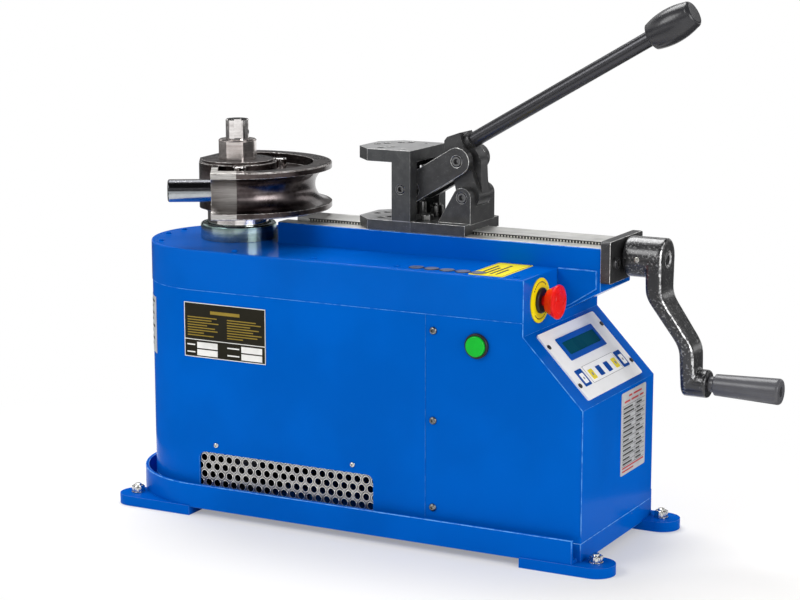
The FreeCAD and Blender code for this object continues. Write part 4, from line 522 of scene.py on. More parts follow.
def ring_points(profile, count):
    """Grid of (along, out, angle) points: each row of the profile is a circle, or a polygon where it
    gives a number of flats."""
    turn = np.linspace(0, 2 * np.pi, count, endpoint=False)
    along, out = [np.array([row[part] for row in profile])[:, None] + 0 * turn for part in (0, 1)]
    for index, row in enumerate(profile):
        if len(row) > 2 and row[2]:
            step = 2 * np.pi / row[2]
            out[index] = row[1] / np.cos(turn % step - step / 2)
    return along, out, turn


def grid_faces(rows, columns):
    """Quads of a grid whose columns wrap round."""
    row, column = np.meshgrid(np.arange(rows - 1), np.arange(columns), indexing="ij")
    ahead = row + 1
    beside = (column + 1) % columns
    quads = np.stack([row * columns + column, row * columns + beside,
                      ahead * columns + beside, ahead * columns + column], -1)
    return quads.reshape(-1, 4).tolist()


def turned(profile, start, axis, count=SEGMENTS):
    """Points and faces of a piece turned about an axis: its radius is a function of the distance
    along the axis, and the two ends close on centre points."""
    along, out, turn = ring_points(profile, count)
    first, second = basis(axis)
    start = np.asarray(start, float)
    axis = np.asarray(axis, float)
    points = (start + along[..., None] * axis
              + (out * np.cos(turn))[..., None] * first + (out * np.sin(turn))[..., None] * second)
    rows = len(profile)
    faces = grid_faces(rows, count)
    low, high, top = rows * count, rows * count + 1, (rows - 1) * count
    column = np.arange(count)
    beside = (column + 1) % count
    faces += np.stack([np.full(count, low), beside, column], -1).tolist()
    faces += np.stack([np.full(count, high), top + column, top + beside], -1).tolist()
    return solid(np.vstack([points.reshape(-1, 3), points[0].mean(0), points[-1].mean(0)]), faces)


def solid(points, faces):
    """The points and faces of a closed shape, turned over if its signed volume is below zero."""
    points = np.array(points)
    volume = sum(np.dot(points[f[0]], np.cross(points[f[i]], points[f[i + 1]]))
                 for f in faces for i in range(1, len(f) - 1))
    return points, [f[::-1] for f in faces] if volume < 0 else faces


def joined(shapes):
    """Several sets of points and faces as one."""
    points, faces, offset = [], [], 0
    for shape_points, shape_faces in shapes:
        points.append(shape_points)
        faces += [[index + offset for index in face] for face in shape_faces]
        offset += len(shape_points)
    return np.vstack(points), faces


def metres(profile):
    return [(row[0] * MM, row[1] * MM, *row[2:]) for row in profile]


def turned_piece(name, profile, start, axis, material, body, slot, *nodes, ease=0.0,
                 count=SEGMENTS):
    """A turned piece from a profile in millimetres, with its corners eased."""
    if ease:
        profile = eased(profile, ease)
    keep(link_mesh(name, *turned(metres(profile), start, axis, count), material), body, slot, *nodes)


def dress(name, material, edge=0.0, edge_material=None, segments=2):
    """A node of the frame in its finish: its mesh joined up and its hard edges eased when shown."""
    node = NODES[name]
    node.data.materials.clear()
    node.data.materials.append(material)
    if not edge:
        return
    shade_smooth(node.data)
    weld = node.modifiers.new("join", "WELD")
    weld.merge_threshold = JOIN_REACH
    flat = node.modifiers.new("flat", "DECIMATE")
    flat.decimate_type = "DISSOLVE"
    flat.angle_limit = FLAT_ANGLE
    bevel = node.modifiers.new("ease", "BEVEL")
    bevel.width = edge * MM
    bevel.segments = segments
    bevel.limit_method = "ANGLE"
    bevel.angle_limit = HARD_ANGLE
    bevel.use_clamp_overlap = True
    bevel.miter_outer = "MITER_ARC"
    if edge_material:
        node.data.materials.append(edge_material)
        bevel.material = 1
    even = node.modifiers.new("even", "WEIGHTED_NORMAL")
    even.keep_sharp = False
    even.weight = 60


DECK_Z = 331.4
BODY_HALF = 109.0
BODY_END_X = 519.0
SLANT_X = 444.0
SLANT_Z = 266.0
SLANT_BOTTOM_Z = 188.3
SLANT = math.atan2(SLANT_Z - SLANT_BOTTOM_Z, BODY_END_X - SLANT_X)


def front_wall(s, z, lift):
    """A place on the casing's front, measured round the round end where s is below 0."""
    turn = min(s, 0.0) / BODY_HALF
    out = BODY_HALF + lift
    return at(max(s, 0.0) + out * math.sin(turn), -out * math.cos(turn), z)


def deck(x, y, lift):
    return at(x, y, DECK_Z + lift)


def end_wall(y, z, lift):
    return at(BODY_END_X + lift, y, z)


def on_slant(s, y, lift):
    """A place on the sloped panel: down the slope, across it and out of it."""
    return at(SLANT_X + s * math.cos(SLANT) + lift * math.sin(SLANT), y,
              SLANT_Z - s * math.sin(SLANT) + lift * math.cos(SLANT))


def rounded_outline(u0, u1, v0, v1, radius, inset=0.0):
    """Corner-rounded rectangle as a list of (u, v)."""
    radius = max(radius - inset, 0.02)
    u0, u1, v0, v1 = u0 + inset, u1 - inset, v0 + inset, v1 - inset
    corners = ((u1 - radius, v1 - radius, 0), (u0 + radius, v1 - radius, 90),
               (u0 + radius, v0 + radius, 180), (u1 - radius, v0 + radius, 270))
    turns = [(cu, cv, math.radians(a + step)) for cu, cv, a in corners for step in (0, 30, 60, 90)]
    return [(cu + radius * math.cos(turn), cv + radius * math.sin(turn)) for cu, cv, turn in turns]


def plate(place, u0, u1, v0, v1, low, high, radius, ease=0.15):
    """Points and faces of a thin plate with rounded corners and an eased upper edge."""
    rings = [(0.0, low), (0.0, high - ease), (ease, high)]
    points = [place(u, v, lift) for inset, lift in rings
              for u, v in rounded_outline(u0, u1, v0, v1, radius, inset)]
    count = len(points) // 3
    faces = [[row * count + i, row * count + (i + 1) % count,
              (row + 1) * count + (i + 1) % count, (row + 1) * count + i]
             for row in (0, 1) for i in range(count)]
    faces.append([2 * count + i for i in range(count)])
    faces.append([count - 1 - i for i in range(count)])
    return solid(points, faces)


def strip(place, u0, u1, v0, v1, low, high, steps=8):
    """Points and faces of a thin label that bends with what it lies on, along u."""
    section = ((v0, low), (v0, high), (v1, high), (v1, low))
    points = [place(u, v, lift) for u in np.linspace(u0, u1, steps + 1) for v, lift in section]
    faces = [[i * 4 + k, i * 4 + (k + 1) % 4, i * 4 + 4 + (k + 1) % 4, i * 4 + 4 + k]
             for i in range(steps) for k in range(4)]
    faces += [[3, 2, 1, 0], [steps * 4 + k for k in range(4)]]
    return solid(points, faces)


def marks(name, material, slot, shapes, *nodes):
    """Several thin shapes on the body as one piece."""
    keep(link_mesh(name, *joined(shapes), material, crease=0.5), "base", slot, *nodes)


def frame_strips(place, u0, u1, v0, v1, width, low, high, steps=1):
    """A thin outline: four strips round a rectangle."""
    return [strip(place, u0, u1, v0, v0 + width, low, high, steps),
            strip(place, u0, u1, v1 - width, v1, low, high, steps),
            strip(place, u0, u0 + width, v0 + width, v1 - width, low, high, 1),
            strip(place, u1 - width, u1, v0 + width, v1 - width, low, high, 1)]


def rows_of_bars(place, u0, u1, v_top, pitch, height, widths, low, high):
    """Plain bars that stand in for rows of small print: each width is a share of the row."""
    lit_tops = [v_top - pitch * i for i in range(len(widths))]
    return [strip(place, u0, u0 + (u1 - u0) * share, top - height, top, low, high)
            for top, share in zip(lit_tops, widths)]


def rating_plate():
    """A generic rating plate: dark field, thin white border, rows of blank bars in two columns, and
    below a white line four blank white fields."""
    u0, u1, v0, v1 = -12.0, 104.5, 198.5, 266.5
    slot = "bezel_blue"
    marks("rating_plate", PLATE_OLIVE, slot, [strip(front_wall, u0, u1, v0, v1, 0.0, 0.5, 12)])
    ink = frame_strips(front_wall, u0, u1, v0, v1, 0.9, 0.4, 0.62, 10)
    ink.append(strip(front_wall, u0, u1, v0 + 21.6, v0 + 22.5, 0.4, 0.62, 10))
    for column, name_at in ((18.5, 4.0), (82.0, 62.0)):
        for low in (v0 + 11.6, v0 + 2.4):
            ink.append(strip(front_wall, u0 + column, u0 + column + 29.5, low, low + 7.6, 0.4, 0.62, 3))
            ink.append(strip(front_wall, u0 + name_at, u0 + column - 3, low + 3.0, low + 4.6,
                             0.4, 0.62, 2))
    marks("rating_plate_print", WHITE_INK, "panel_white", ink)
    left = (0.9, 0.74, 0.95, 0.6, 0.84, 0.92, 0.5, 0.8)
    right = (0.82, 0.96, 0.66, 0.9, 0.74, 0.98, 0.86, 0.45)
    rows = rows_of_bars(front_wall, u0 + 5, u0 + 52, v1 - 17.5, 3.2, 1.3, left, 0.4, 0.6)
    rows += rows_of_bars(front_wall, u0 + 62, u0 + 112, v1 - 17.5, 3.2, 1.3, right, 0.4, 0.6)
    rows.append(strip(front_wall, u0 + 38, u0 + 80, v1 - 13.0, v1 - 9.0, 0.4, 0.6, 4))
    marks("rating_plate_rows", OLIVE_INK, "yellow_plastic", rows)


def side_label():
    """A narrow grey label with blank rows, on the round end below the lid."""
    u0, u1, v0, v1 = -124.0, -77.0, 190.0, 262.0
    marks("side_label", SILVER, "bare_sheet", [strip(front_wall, u0, u1, v0, v1, 0.0, 0.4, 6)])
    widths = (0.9, 0.6, 0.8, 0.7, 0.9, 0.5, 0.8, 0.6)
    ink = rows_of_bars(front_wall, u0 + 3, u1 - 3, v1 - 5, 8.0, 3.0, widths, 0.3, 0.5)
    marks("side_label_print", INK, "black_plastic", ink)


def deck_label():
    """A plain yellow plate on the deck with a dark line round it and blank rows."""
    u0, u1, v0, v1 = 371.0, 415.0, -102.0, -17.0
    marks("deck_label", YELLOW, "yellow_plastic", [plate(deck, u0, u1, v0, v1, 0.0, 0.4, 2.0)])
    ink = frame_strips(deck, u0 + 1.6, u1 - 1.6, v0 + 1.6, v1 - 1.6, 0.8, 0.3, 0.5)
    ink += [strip(deck, u0 + 8 + 7 * i, u0 + 11 + 7 * i, v0 + 10, v0 + share, 0.3, 0.5, 1)
            for i, share in enumerate((64, 52, 70, 46))]
    marks("deck_label_print", INK, "black_plastic", ink)


def end_label():
    """A silver plate on the end face: red bars at its head and foot, and blank ruled rows."""
    u0, u1, v0, v1 = 6.0, 82.0, 84.0, 184.0
    marks("end_label", SILVER, "bare_sheet", [plate(end_wall, u0, u1, v0, v1, 0.0, 0.5, 2.5)])
    heads = ((22, 44, 7), (36, 14, 7), (9, 50, 13), (30, 24, 13), (56, 8, 13))
    red = [strip(end_wall, u0 + left, u1 - right, v1 - down, v1 - down + 2.2, 0.4, 0.6, 1)
           for left, right, down in heads]
    red += [strip(end_wall, u0 + 5, u1 - right, v0 + up, v0 + up + 1.8, 0.4, 0.6, 1)
            for right, up in ((5, 7.5), (36, 3.5))]
    marks("end_label_bars", RED_INK, "red_plastic", red)
    rules = [v1 - 16.6 - 5.6 * i for i in range(14)]
    ink = [strip(end_wall, u0 + 4, u1 - 4, rule, rule + 0.4, 0.4, 0.6, 1) for rule in rules]
    ink.append(strip(end_wall, u0 + 43.0, u0 + 43.5, v0 + 11.2, v1 - 16.4, 0.4, 0.6, 1))
    left = (0.8, 0.95, 0.6, 0.9, 0.7, 0.98, 0.8, 0.5, 0.9, 0.7, 0.95, 0.6, 0.8)
    right = (0.7, 0.5, 0.9, 0.6, 0.8, 0.5, 0.9, 0.4, 0.7, 0.8, 0.5, 0.6, 0.7)
    ink += rows_of_bars(end_wall, u0 + 6, u0 + 41, v1 - 18.4, 5.6, 2.2, left, 0.4, 0.6)
    ink += rows_of_bars(end_wall, u0 + 46, u1 - 6, v1 - 18.4, 5.6, 2.2, right, 0.4, 0.6)
    marks("end_label_print", INK, "black_plastic", ink)


KEY_LOW = 2.0
KEY_HIGH = 2.8
SMALL_KEYS = ((-31.3, "yellow"), (-8.9, "blue"), (14.3, "blue"), (37.0, "yellow"))


def panel():
    """The sloped panel: its key field, the coloured keys and the window in its frame."""
    dress("panel_plate", PANEL, 0.3)
    dress("display_bezel", BEZEL, 0.3)
    dress("display_window", LCD, 0.2)
    dress("panel_screws", SCREW, 0.3)
    blue = [plate(on_slant, 62.2, 84.8, y - 8.5, y + 8.5, KEY_LOW, KEY_HIGH, 1.2) for y in (-57.0, 58.0)]
    small = {"blue": [], "yellow": []}
    for y, tint in SMALL_KEYS:
        small[tint].append(plate(on_slant, 68.1, 81.3, y - 5.5, y + 5.5, KEY_LOW, KEY_HIGH, 1.0))
    marks("keys_blue", KEY_BLUE, "key_blue", blue + small["blue"], "panel_keys")
    marks("keys_yellow", KEY_YELLOW, "yellow_plastic", small["yellow"], "panel_keys")
    pads = [plate(on_slant, 68.0, 81.5, y, y + 10.0, KEY_HIGH, KEY_HIGH + 0.15, 1.5, 0.05)
            for y in (54.0, -62.0)]
    marks("key_pads", PANEL_LIGHT, "panel_white", pads)
    marks("key_field", PANEL_LIGHT, "panel_white",
          [plate(on_slant, 61.5, 84.8, -42.0, 46.0, 2.0, 2.15, 1.0, 0.05)])
    marks("key_field_line", GREY_INK, "screw_black",
          frame_strips(on_slant, 61.2, 85.1, -42.3, 46.3, 0.5, 2.0, 2.22))
    ink = [plate(on_slant, 73.0, 76.6, y - 1.8, y + 1.8, KEY_HIGH + 0.1, KEY_HIGH + 0.25, 1.7, 0.05)
           for y in (59.0, -57.0)]
    ink += [plate(on_slant, 72.5, 77.0, y - 2.0, y + 2.0, KEY_HIGH - 0.05, KEY_HIGH + 0.1, 1.9, 0.05)
            for y, tint in SMALL_KEYS if tint == "yellow"]
    marks("panel_print", GREY_INK, "screw_black", ink)


def socket_heads(name, places, axis, radius, height, key, material, body, slot, node, stem=1.5):
    """Domed screw heads with a six-sided socket, all in one piece."""
    profile = [(-stem, radius * 0.5), (-stem * 0.99, radius * 0.5), (-0.1, radius * 0.5),
               (-0.05, radius), (height * 0.35, radius), (height * 0.7, radius * 0.9),
               (height * 0.93, radius * 0.7), (height, radius * 0.56), (height, key * 1.02, 6),
               (height * 0.3, key, 6)]
    shapes = [turned(metres(profile), place, axis, 36) for place in places]
    keep(link_mesh(name, *joined(shapes), material), body, slot, node)


def bodywork():
    """The sheet-metal body, its lid, tray and lugs, and the steel it stands and works on."""
    # The edge enamel paints a pale highlight along the hard edges of the blue pieces.
    dress("base_tray", BLUE, 1.0, BLUE_EDGE_HIGHLIGHT)
    for name in ("foot_lugs", "casing_main", "casing_end", "slide_beam"):
        dress(name, BLUE, 0.9, BLUE_EDGE_HIGHLIGHT)
    dress("top_cover", BLUE_DECK, 0.9, BLUE_EDGE_HIGHLIGHT)
    dress("front_rail", RAIL, 0.4)
    dress("rear_rail", RAIL, 0.4)
    dress("guide_bar", RAIL, 0.25)
    dress("grille_sheet", PIERCED)
    dress("end_plate", BLACKENED, 0.6, EDGE)
    dress("stored_pins", MACHINED, 1.3, SCREW)
    dress("foot_washers", CHROME, 0.3)
    for name in ("inner_frame", "gearbox_housing", "motor", "control_unit"):
        dress(name, IRON)
    for name in ("spindle_bearings", "worm_shaft", "lead_screw", "jaw_stud"):
        dress(name, MACHINED, 0.2)
    for name in ("worm_wheel", "lead_nut"):
        dress(name, BRONZE)
    for name in ("estop_contacts", "button_contacts"):
        dress(name, BLACK_PLASTIC)


def folds():
    """Thin pale beads that paint a highlight where the paint catches light: the lid's seam and corner,
    and the casing's folds beside the sloped panel."""
    def bead(first, last):
        run = at(*last) - at(*first)
        length = float(np.linalg.norm(run))
        profile = [(x, r * MM) for x, r in ((0.0, 0.1), (0.0, 0.55), (length, 0.55), (length, 0.1))]
        return turned(profile, at(*first), run / length, 10)

    front = -BODY_HALF
    lid = (SLANT_X + 0.4, front - 0.4)
    path = [(SLANT_X, front, 281.0), (SLANT_X, front, SLANT_Z),
            (BODY_END_X, front, SLANT_BOTTOM_Z), (BODY_END_X, front, 42.0)]
    beads = [bead(first, last) for first, last in zip(path[:-1], path[1:])]
    beads.append(bead((*lid, 282.5), (*lid, 330.5)))
    beads.append(strip(front_wall, -168.0, SLANT_X - 1, 281.3, 281.8, -0.1, 0.4, 72))
    # The beads are a painted highlight line along the seam and folds.
    marks("fold_highlight_beads", BLUE_EDGE_HIGHLIGHT, "body_blue", beads)


def rack():
    """The toothed lower edge of the guide bar: pale teeth with black strips of painted shade in the
    gaps, under a dark line.
    """
    x0, x1, z0, z1 = 96.5, 497.5, 357.6, 361.2
    pitch = 4.0

    def guide_face(x, z, lift):
        return at(x, 10.0 - lift, z)

    marks("guide_face", ZINC, "black_steel", [strip(guide_face, x0, x1, z0, z1, 0.0, 0.1, 1)])
    starts = [x0 + 1.5 + pitch * i for i in range(99)]
    # Black strips in the tooth gaps are painted shade.
    gaps = [strip(guide_face, x, x + 2.5, z0, z1 - 0.8, 0.05, 0.2, 1) for x in starts]
    gaps.append(strip(guide_face, x0, x1, z1 - 1.1, z1, 0.05, 0.2, 1))
    marks("guide_gap_shade", INK, "black_plastic", gaps)


def slide_and_lever():
    """The blackened carriage, jaw, links and lever head, with bright edges that are partly rubbed wear
    and partly a painted highlight.
    """
    dress("jaw_block", JAW, 1.0, EDGE)
    for name, edge in (("carriage_base", 0.8), ("link_plates", 0.5), ("lever_head", 1.5)):
        dress(name, BLACKENED, edge, EDGE)
    for name in ("jaw_pin", "lower_pin", "upper_pin", "end_plate_screws", "grip_bolt"):
        dress(name, PIN_BLACK, 0.5, PIN_RIM)
    dress("base_bolts", BOLT_STEEL, 0.5)


HUB = (512.0, 35.0, 343.5)
HUB_R = 24.0
CRANK_PIN = (604.0, 35.0, 201.0)
CRANK_PIN_R = 16.5
HUB_FACE_X = 562.0
RECESS_R = 9.0
RECESS_DEPTH = 2.2
RIDGE_X = (556.0, 602.6)


def arm_sides(z):
    """How far along X the arm's inner and outer faces stand at a height: straight runs, whose bends
    are rounded by averaging over a length."""
    fine = np.linspace(150.0, 400.0, 1001)
    blend = np.hanning(133)
    faces = []
    for x in ((585.4, 583.2, 541.6, 541.6), (604.0, 601.5, HUB_FACE_X, HUB_FACE_X)):
        run = np.interp(fine, (184.0, 244.0, 300.0, 370.0), x)
        padded = np.pad(run, 66, mode="edge")
        faces.append(np.interp(z, fine, np.convolve(padded, blend / blend.sum(), mode="valid")))
    return faces


def arm_slices():
    """The arm as level slices: each is a rectangle with rounded corners, as wide as the hull of the
    hub's circle and the lower circle is at its height."""
    dome = np.sin(np.radians(np.linspace(86, 0, 16)))
    z = np.concatenate([HUB[2] + HUB_R * dome, np.linspace(HUB[2], CRANK_PIN[2], 90)[1:-1],
                        CRANK_PIN[2] - CRANK_PIN_R * dome[::-1]])
    straight = np.interp(z, (CRANK_PIN[2], HUB[2]), (CRANK_PIN_R, HUB_R))
    top = np.sqrt(np.maximum(HUB_R ** 2 - np.maximum(z - HUB[2], 0) ** 2, 0))
    foot = np.sqrt(np.maximum(CRANK_PIN_R ** 2 - np.maximum(CRANK_PIN[2] - z, 0) ** 2, 0))
    half = np.where(z > HUB[2], top, np.where(z < CRANK_PIN[2], foot, straight))
    low, high = arm_sides(z)
    points = []
    for x0, x1, w, level in zip(low, high, half, z):
        ring = rounded_outline(x0, x1, -w, w, min(4.0, w * 0.9))
        points += [at(u, HUB[1] + v, level) for u, v in ring]
    count = len(points) // len(z)
    faces = grid_faces(len(z), count)
    faces += [list(range(count)), list(range(len(points) - 1, len(points) - 1 - count, -1))]
    return solid(points, faces)


def cast_skin(name, shapes, voxel, passes):
    """Closed shapes grown together under one skin of even quads, and smoothed as a casting is."""
    rough = link_mesh(name, *joined(shapes), CAST)
    skin = rough.modifiers.new("skin", "REMESH")
    skin.mode = "VOXEL"
    skin.voxel_size = voxel * MM
    soft = rough.modifiers.new("soft", "SMOOTH")
    soft.factor = 0.5
    soft.iterations = passes
    bpy.context.view_layer.update()
    mesh = bpy.data.meshes.new_from_object(rough.evaluated_get(bpy.context.evaluated_depsgraph_get()))
    rough.modifiers.clear()
    rough.data = mesh
    mesh.materials.clear()
    mesh.materials.append(CAST)
    return rough


def vectors(items, field):
    """A vector field of a mesh's vertices or faces, one row each."""
    flat = np.empty(len(items) * 3, np.float32)
    items.foreach_get(field, flat)
    return flat.reshape(-1, 3)


def crank_casting():
    """The cast crank: hub, double-bent arm and boss under one skin, with the screw's recess pressed into
    the hub's face. The arm's outer front edge is painted bright as a highlight."""
    hub = eased([(0.0, 9.0), (0.0, HUB_R), (HUB_FACE_X - 6.0 - HUB[0], HUB_R),
                 (HUB_FACE_X - 6.0 - HUB[0], 9.0)], 7.0, 6)
    boss = eased([(-14.0, 4.0), (-14.0, CRANK_PIN_R), (12.0, CRANK_PIN_R), (12.0, 4.0)], 2.5, 4)
    shapes = [turned(metres(profile), at(*place), X_AXIS, 72)
              for profile, place in ((hub, HUB), (boss, CRANK_PIN))]
    piece = cast_skin("crank_arm_casting", shapes + [arm_slices()], 1.3, 5)
    mesh = piece.data
    place = vectors(mesh.vertices, "co")
    centre = at(*HUB)
    reach = np.hypot(place[:, 1] - centre[1], place[:, 2] - centre[2])
    face = place[:, 0] > at(HUB_FACE_X - 1.5, 0, 0)[0]
    place[face & (reach < RECESS_R * MM), 0] -= RECESS_DEPTH * MM
    mesh.vertices.foreach_set("co", place.ravel())
    shade_smooth(mesh)
    mesh.update()
    normals = vectors(mesh.polygons, "normal")
    middles = vectors(mesh.polygons, "center")
    low, high = at(RIDGE_X[0], 0, 0)[0], at(RIDGE_X[1], 0, 0)[0]
    # The faces along the arm's outer front edge take the painted highlight.
    ridge = (normals[:, 0] > 0.42) & (normals[:, 1] < -0.42) & (middles[:, 0] < high)
    ridge &= middles[:, 0] > low - (normals[:, 2] < -0.1) * 0.01
    mesh.materials.append(CAST_RIDGE_HIGHLIGHT)
    mesh.polygons.foreach_set("material_index", ridge.astype(np.int32))
    keep(piece, "crank", "cast_black", "crank")


def die_and_spindle():
    dress("bend_die", DIE, 0.5, DIE_EDGE, segments=3)
    dress("spindle", BRIGHT, 0.5)
    dress("drive_pins", BRIGHT, 0.4)
    dress("hook_bar", HOOK, 0.6)
    dress("bearing_cover", COVER, 0.5)
    dress("retaining_collar", COLLAR, 0.4)


STOP_Y = -65.0
STOP_Z = 301.3
STOP_DISC_X = 446.0
STOP_FACE = [(437.0, 6.0), (455.5, 6.0), (455.5, 13.5), (467.5, 20.0), (469.4, 19.6), (470.4, 17.6),
             (470.55, 13.6), (470.1, 13.2), (470.1, 12.6), (470.65, 12.2), (470.95, 4.0), (471.0, 0.5)]


def controls():
    """The emergency stop and the start button."""
    dress("estop_disc", YELLOW, 0.3)
    dress("estop_collar", BLACK_PLASTIC, 0.6)
    turned_piece("stop_mushroom", STOP_FACE, at(0, STOP_Y, STOP_Z), X_AXIS, RED, "estop", "red_plastic",
                 "estop_mushroom", ease=0.35)
    dress("button_bezel", BLACK_PLASTIC, 0.4)
    dress("button_cap", GREEN, 0.4)

    def on_disc(angle, radius, lift):
        turn = math.radians(angle)
        return at(STOP_DISC_X + lift, STOP_Y + radius * math.cos(turn), STOP_Z + radius * math.sin(turn))

    angles = [*range(50, 145, 9), *range(225, 315, 9)]
    ticks = [strip(on_disc, angle, angle + 5, 20.6, 22.2, -0.1, 0.15, 2) for angle in angles]
    marks("stop_disc_marks", INK, "black_plastic", ticks)


ROD_FOOT = (316.7, 34.5, 470.8)
ROD_LEAN = math.radians(30.0)
ROD_LENGTH = 252.0
ROD_R = 9.2
KNOB_LENGTH = 59.8


def handles():
    """The lever's rod and barrel knob, and the crank's grip."""
    direction = np.array([math.cos(ROD_LEAN), 0.0, math.sin(ROD_LEAN)])
    root = at(*ROD_FOOT)
    start = root + direction * ROD_LENGTH * MM
    rod_end = ROD_LENGTH + 10.0
    rod = [(-13.6, ROD_R - 0.8), (-13.0, ROD_R), (rod_end, ROD_R), (rod_end + 0.6, ROD_R - 0.8)]
    turned_piece("lever_bar", rod, root, direction, ROD_BLACK, "lever", "black_steel", "lever_rod",
                 count=48)
    swell = [(2.0 + 52.8 * t, 16.0 + 0.3 * t + 16.6 * t * (1.0 - t)) for t in np.linspace(0, 1, 15)]
    end = [(KNOB_LENGTH - 5.0 * (1 - math.sin(turn)), 11.3 + 5.0 * math.cos(turn))
           for turn in np.linspace(0.2, 1.5, 6)]
    knob = [(0.0, 9.6), (0.0, 12.4)] + swell + end + [(KNOB_LENGTH, 8.0)]
    turned_piece("lever_barrel", knob, start, direction, KNOB, "lever", "grip_grey", "lever_knob",
                 ease=0.4)
    body = [(0.0, 7.0), (0.0, 9.35), (6.0, 9.35), (7.5, 12.6), (83.0, 15.2), (85.2, 14.2), (85.7, 12.8),
            (85.7, 6.3), (77.4, 6.3), (77.4, 4.1)]
    turned_piece("crank_handle", body, at(616.3, 35.0, 201.0), X_AXIS, GRIP, "grip", "grip_grey",
                 "crank_grip", ease=0.7)


DECK_SCREWS = [(x, side * 94.0) for x in (52.4, 163.8, 275.5, 428.7) for side in (-1, 1)]
DECK_SCREWS += [(x, side * y) for x, y in ((-71.0, 68.0), (-94.0, 18.0)) for side in (-1, 1)]


def fasteners():
    """Screws and bolts with sockets and chamfered heads."""
    front = -Y_AXIS
    socket_heads("deck_button_screws", [at(x, y, DECK_Z) for x, y in DECK_SCREWS], Z_AXIS, 3.6, 1.9, 1.4,
                 BLUE, "base", "body_blue", "deck_screws")
    socket_heads("casing_button_screws", [at(330.8, -BODY_HALF, z) for z in (262.9, 156.1, 51.5)], front,
                 4.6, 2.6, 1.9, BOLT_STEEL, "base", "zinc", "casing_screws")
    socket_heads("grille_button_screws", [at(x, -BODY_HALF, 89.5) for x in (31.5, 223.4)], front,
                 3.4, 2.0, 1.4, CHROME, "base", "zinc", "grille_screws")
    socket_heads("hub_cap_screw", [at(559.7, HUB[1], HUB[2])], X_AXIS, 7.5, 2.1, 3.4,
                 PIN_BLACK, "crank", "zinc", "crank_set_screw", 3.0)
    socket_heads("hub_set_screw", [at(532.0, HUB[1] - HUB_R + 0.2, HUB[2])], front, 3.2, 0.6, 1.5,
                 ZINC, "crank", "zinc", "crank_set_screw", 3.0)
    low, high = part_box("foot_washers")
    reach = 8.5 * MM
    feet = [np.array([x, y, high.z]) for x in (low.x + reach, high.x - reach)
            for y in (low.y + reach, high.y - reach)]
    nut = [(-9.0, 3.9), (-0.1, 3.9), (0.0, 6.6, 6), (0.1, 7.2, 6), (6.4, 7.2, 6),
           (7.3, 6.7), (7.5, 6.0), (7.6, 4.2), (9.2, 4.1), (9.8, 3.2)]
    shapes = [turned(metres(nut), place, Z_AXIS, 48) for place in feet]
    keep(link_mesh("foot_nuts", *joined(shapes), CHROME), "base", "zinc", "foot_bolts")


LAMPS = (("key", (-1.6, -2.6, 2.4), (0.0, 0.0, 0.25), (1.8, 1.4), 52),
         ("fill", (2.8, -0.9, 1.3), (0.0, 0.0, 0.25), (1.6, 1.4), 38),
         ("top", (-0.9, 0.9, 2.6), (-0.1, 0.0, 0.3), (1.8, 1.4), 58))
CARDS = (("card_ceiling", 3.6, 0.0, 5.4, -180, 180), ("card_left", 0.004, 0.6, 5.9, 130, 212),
         ("card_right", 0.004, 0.36, 5.9, 6, 80), ("card_near", 0.004, 0.9, 2.35, -150, -78),
         ("card_far", 0.004, 2.1, 3.0, -36, 12))


def studio():
    """A pale floor under a white sky, large soft lamps, and dark cards that only gloss shows."""
    scene = bpy.context.scene
    scene.view_settings.view_transform = "Standard"
    scene.world = bpy.data.worlds.new("studio")
    scene.world.use_nodes = True
    nodes = Nodes(scene.world.node_tree)
    nodes.tree.nodes.remove(nodes.tree.nodes["Background"])
    sky = nodes.add("ShaderNodeBackground", None, {"Color": (0.88, 0.88, 0.895, 1.0), "Strength": 0.5})
    white = nodes.add("ShaderNodeBackground", None, {"Color": WHITE})
    nodes.blend(nodes.rays("Camera", "Transmission", "Glossy"), sky, white, "World Output")
    for row in LAMPS:
        lamp(*row)
    floor()
    dark_ring()
    for row in CARDS:
        dark_disc(*row)


def lamp(name, place, target, size, power):
    """A rectangular lamp at a place, turned to face the target."""
    light = bpy.data.lights.new(name, "AREA")
    light.shape = "RECTANGLE"
    light.size, light.size_y = size
    light.energy = power
    thing = new_object(name, light)
    back = np.array(place) - np.array(target)
    thing.location = place
    thing.rotation_euler = (math.atan2(math.hypot(back[0], back[1]), back[2]), 0.0,
                            math.atan2(back[0], -back[1]))


FLOOR_HALF = 14.0


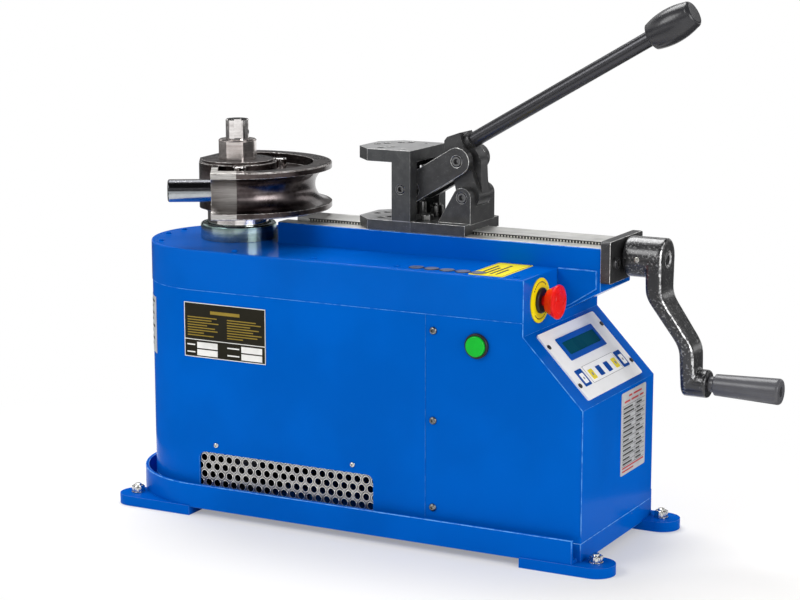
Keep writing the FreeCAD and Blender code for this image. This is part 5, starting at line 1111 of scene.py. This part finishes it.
def floor():
    """A wide pale floor that keeps a soft shadow near the object and turns plain white further out:
    the share of plain white grows with the distance from the middle, faster to the front and rear."""
    points = [(x * FLOOR_HALF, y * FLOOR_HALF, 0) for x, y in ((-1, -1), (1, -1), (1, 1), (-1, 1))]
    material = new_material("pale_floor")
    nodes = Nodes(material.node_tree)
    nodes.tree.nodes.remove(nodes.tree.nodes["Principled BSDF"])
    lit = nodes.add("ShaderNodeBsdfDiffuse", None, {"Color": (0.92, 0.903, 0.87, 1.0)})
    plain = nodes.add("ShaderNodeEmission", None, {"Color": WHITE})
    place = nodes.add("ShaderNodeTexCoord", output="Object")
    narrow = nodes.add("ShaderNodeVectorMath", {"operation": "MULTIPLY"}, {0: place, 1: (1.0, 1.8, 1.0)})
    length = nodes.add("ShaderNodeVectorMath", {"operation": "LENGTH"}, {0: narrow}, output="Value")
    reach = nodes.add("ShaderNodeMapRange", {"interpolation_type": "SMOOTHSTEP"},
                      {"Value": length, "From Min": 0.4, "From Max": 0.95, "To Min": 0.3, "To Max": 1.0})
    nodes.blend(nodes.rays("Camera", "Glossy") * reach, lit, plain, "Material Output")
    link_mesh("floor", points, [[0, 1, 2, 3]], material, smooth=False)


def gloss_only(name, points, faces):
    """A black stage piece that only reflections see, so that gloss and metal keep dark bands."""
    material = new_material(name)
    surface = material.node_tree.nodes["Principled BSDF"]
    surface.inputs["Base Color"].default_value = (0.01, 0.012, 0.015, 1.0)
    card = link_mesh(name, points, faces, material, smooth=False)
    card.visible_camera = card.visible_diffuse = card.visible_shadow = False


def dark_ring():
    """A dark band above the horizon round the studio, as far walls are."""
    count, radius = 48, 6.0
    turn = np.linspace(0, 2 * np.pi, count, endpoint=False)
    points = [(radius * math.cos(t), radius * math.sin(t), z) for z in (0.85, 2.3) for t in turn]
    gloss_only("card_ring", points, grid_faces(2, count))


def dark_disc(name, z, near, far, start, end):
    """A level dark sector between two radii and two angles from +X."""
    count = 33
    turn = np.radians(np.linspace(start, end, count))
    points = [(radius * math.cos(t), radius * math.sin(t), z) for radius in (near, far) for t in turn]
    gloss_only(name, points, [[i, i + 1, count + 1 + i, count + i] for i in range(count - 1)])


CAMERA_PLACE = (1.1594, -2.3066, 0.7745)
CAMERA_LENS = 98.23
CAMERA_YAW = 27.86
CAMERA_PITCH = 10.92


def camera():
    lens = bpy.data.cameras.new("camera")
    lens.lens = CAMERA_LENS
    lens.sensor_width = 36.0
    lens.clip_end = 60.0
    eye = new_object("camera", lens)
    eye.location = CAMERA_PLACE
    eye.rotation_euler = (math.radians(90.0 - CAMERA_PITCH), 0.0, math.radians(CAMERA_YAW))
    bpy.context.scene.camera = eye


bodywork()
folds()
slide_and_lever()
rack()
crank_casting()
die_and_spindle()
controls()
panel()
handles()
fasteners()
rating_plate()
side_label()
deck_label()
end_label()
studio()
camera()
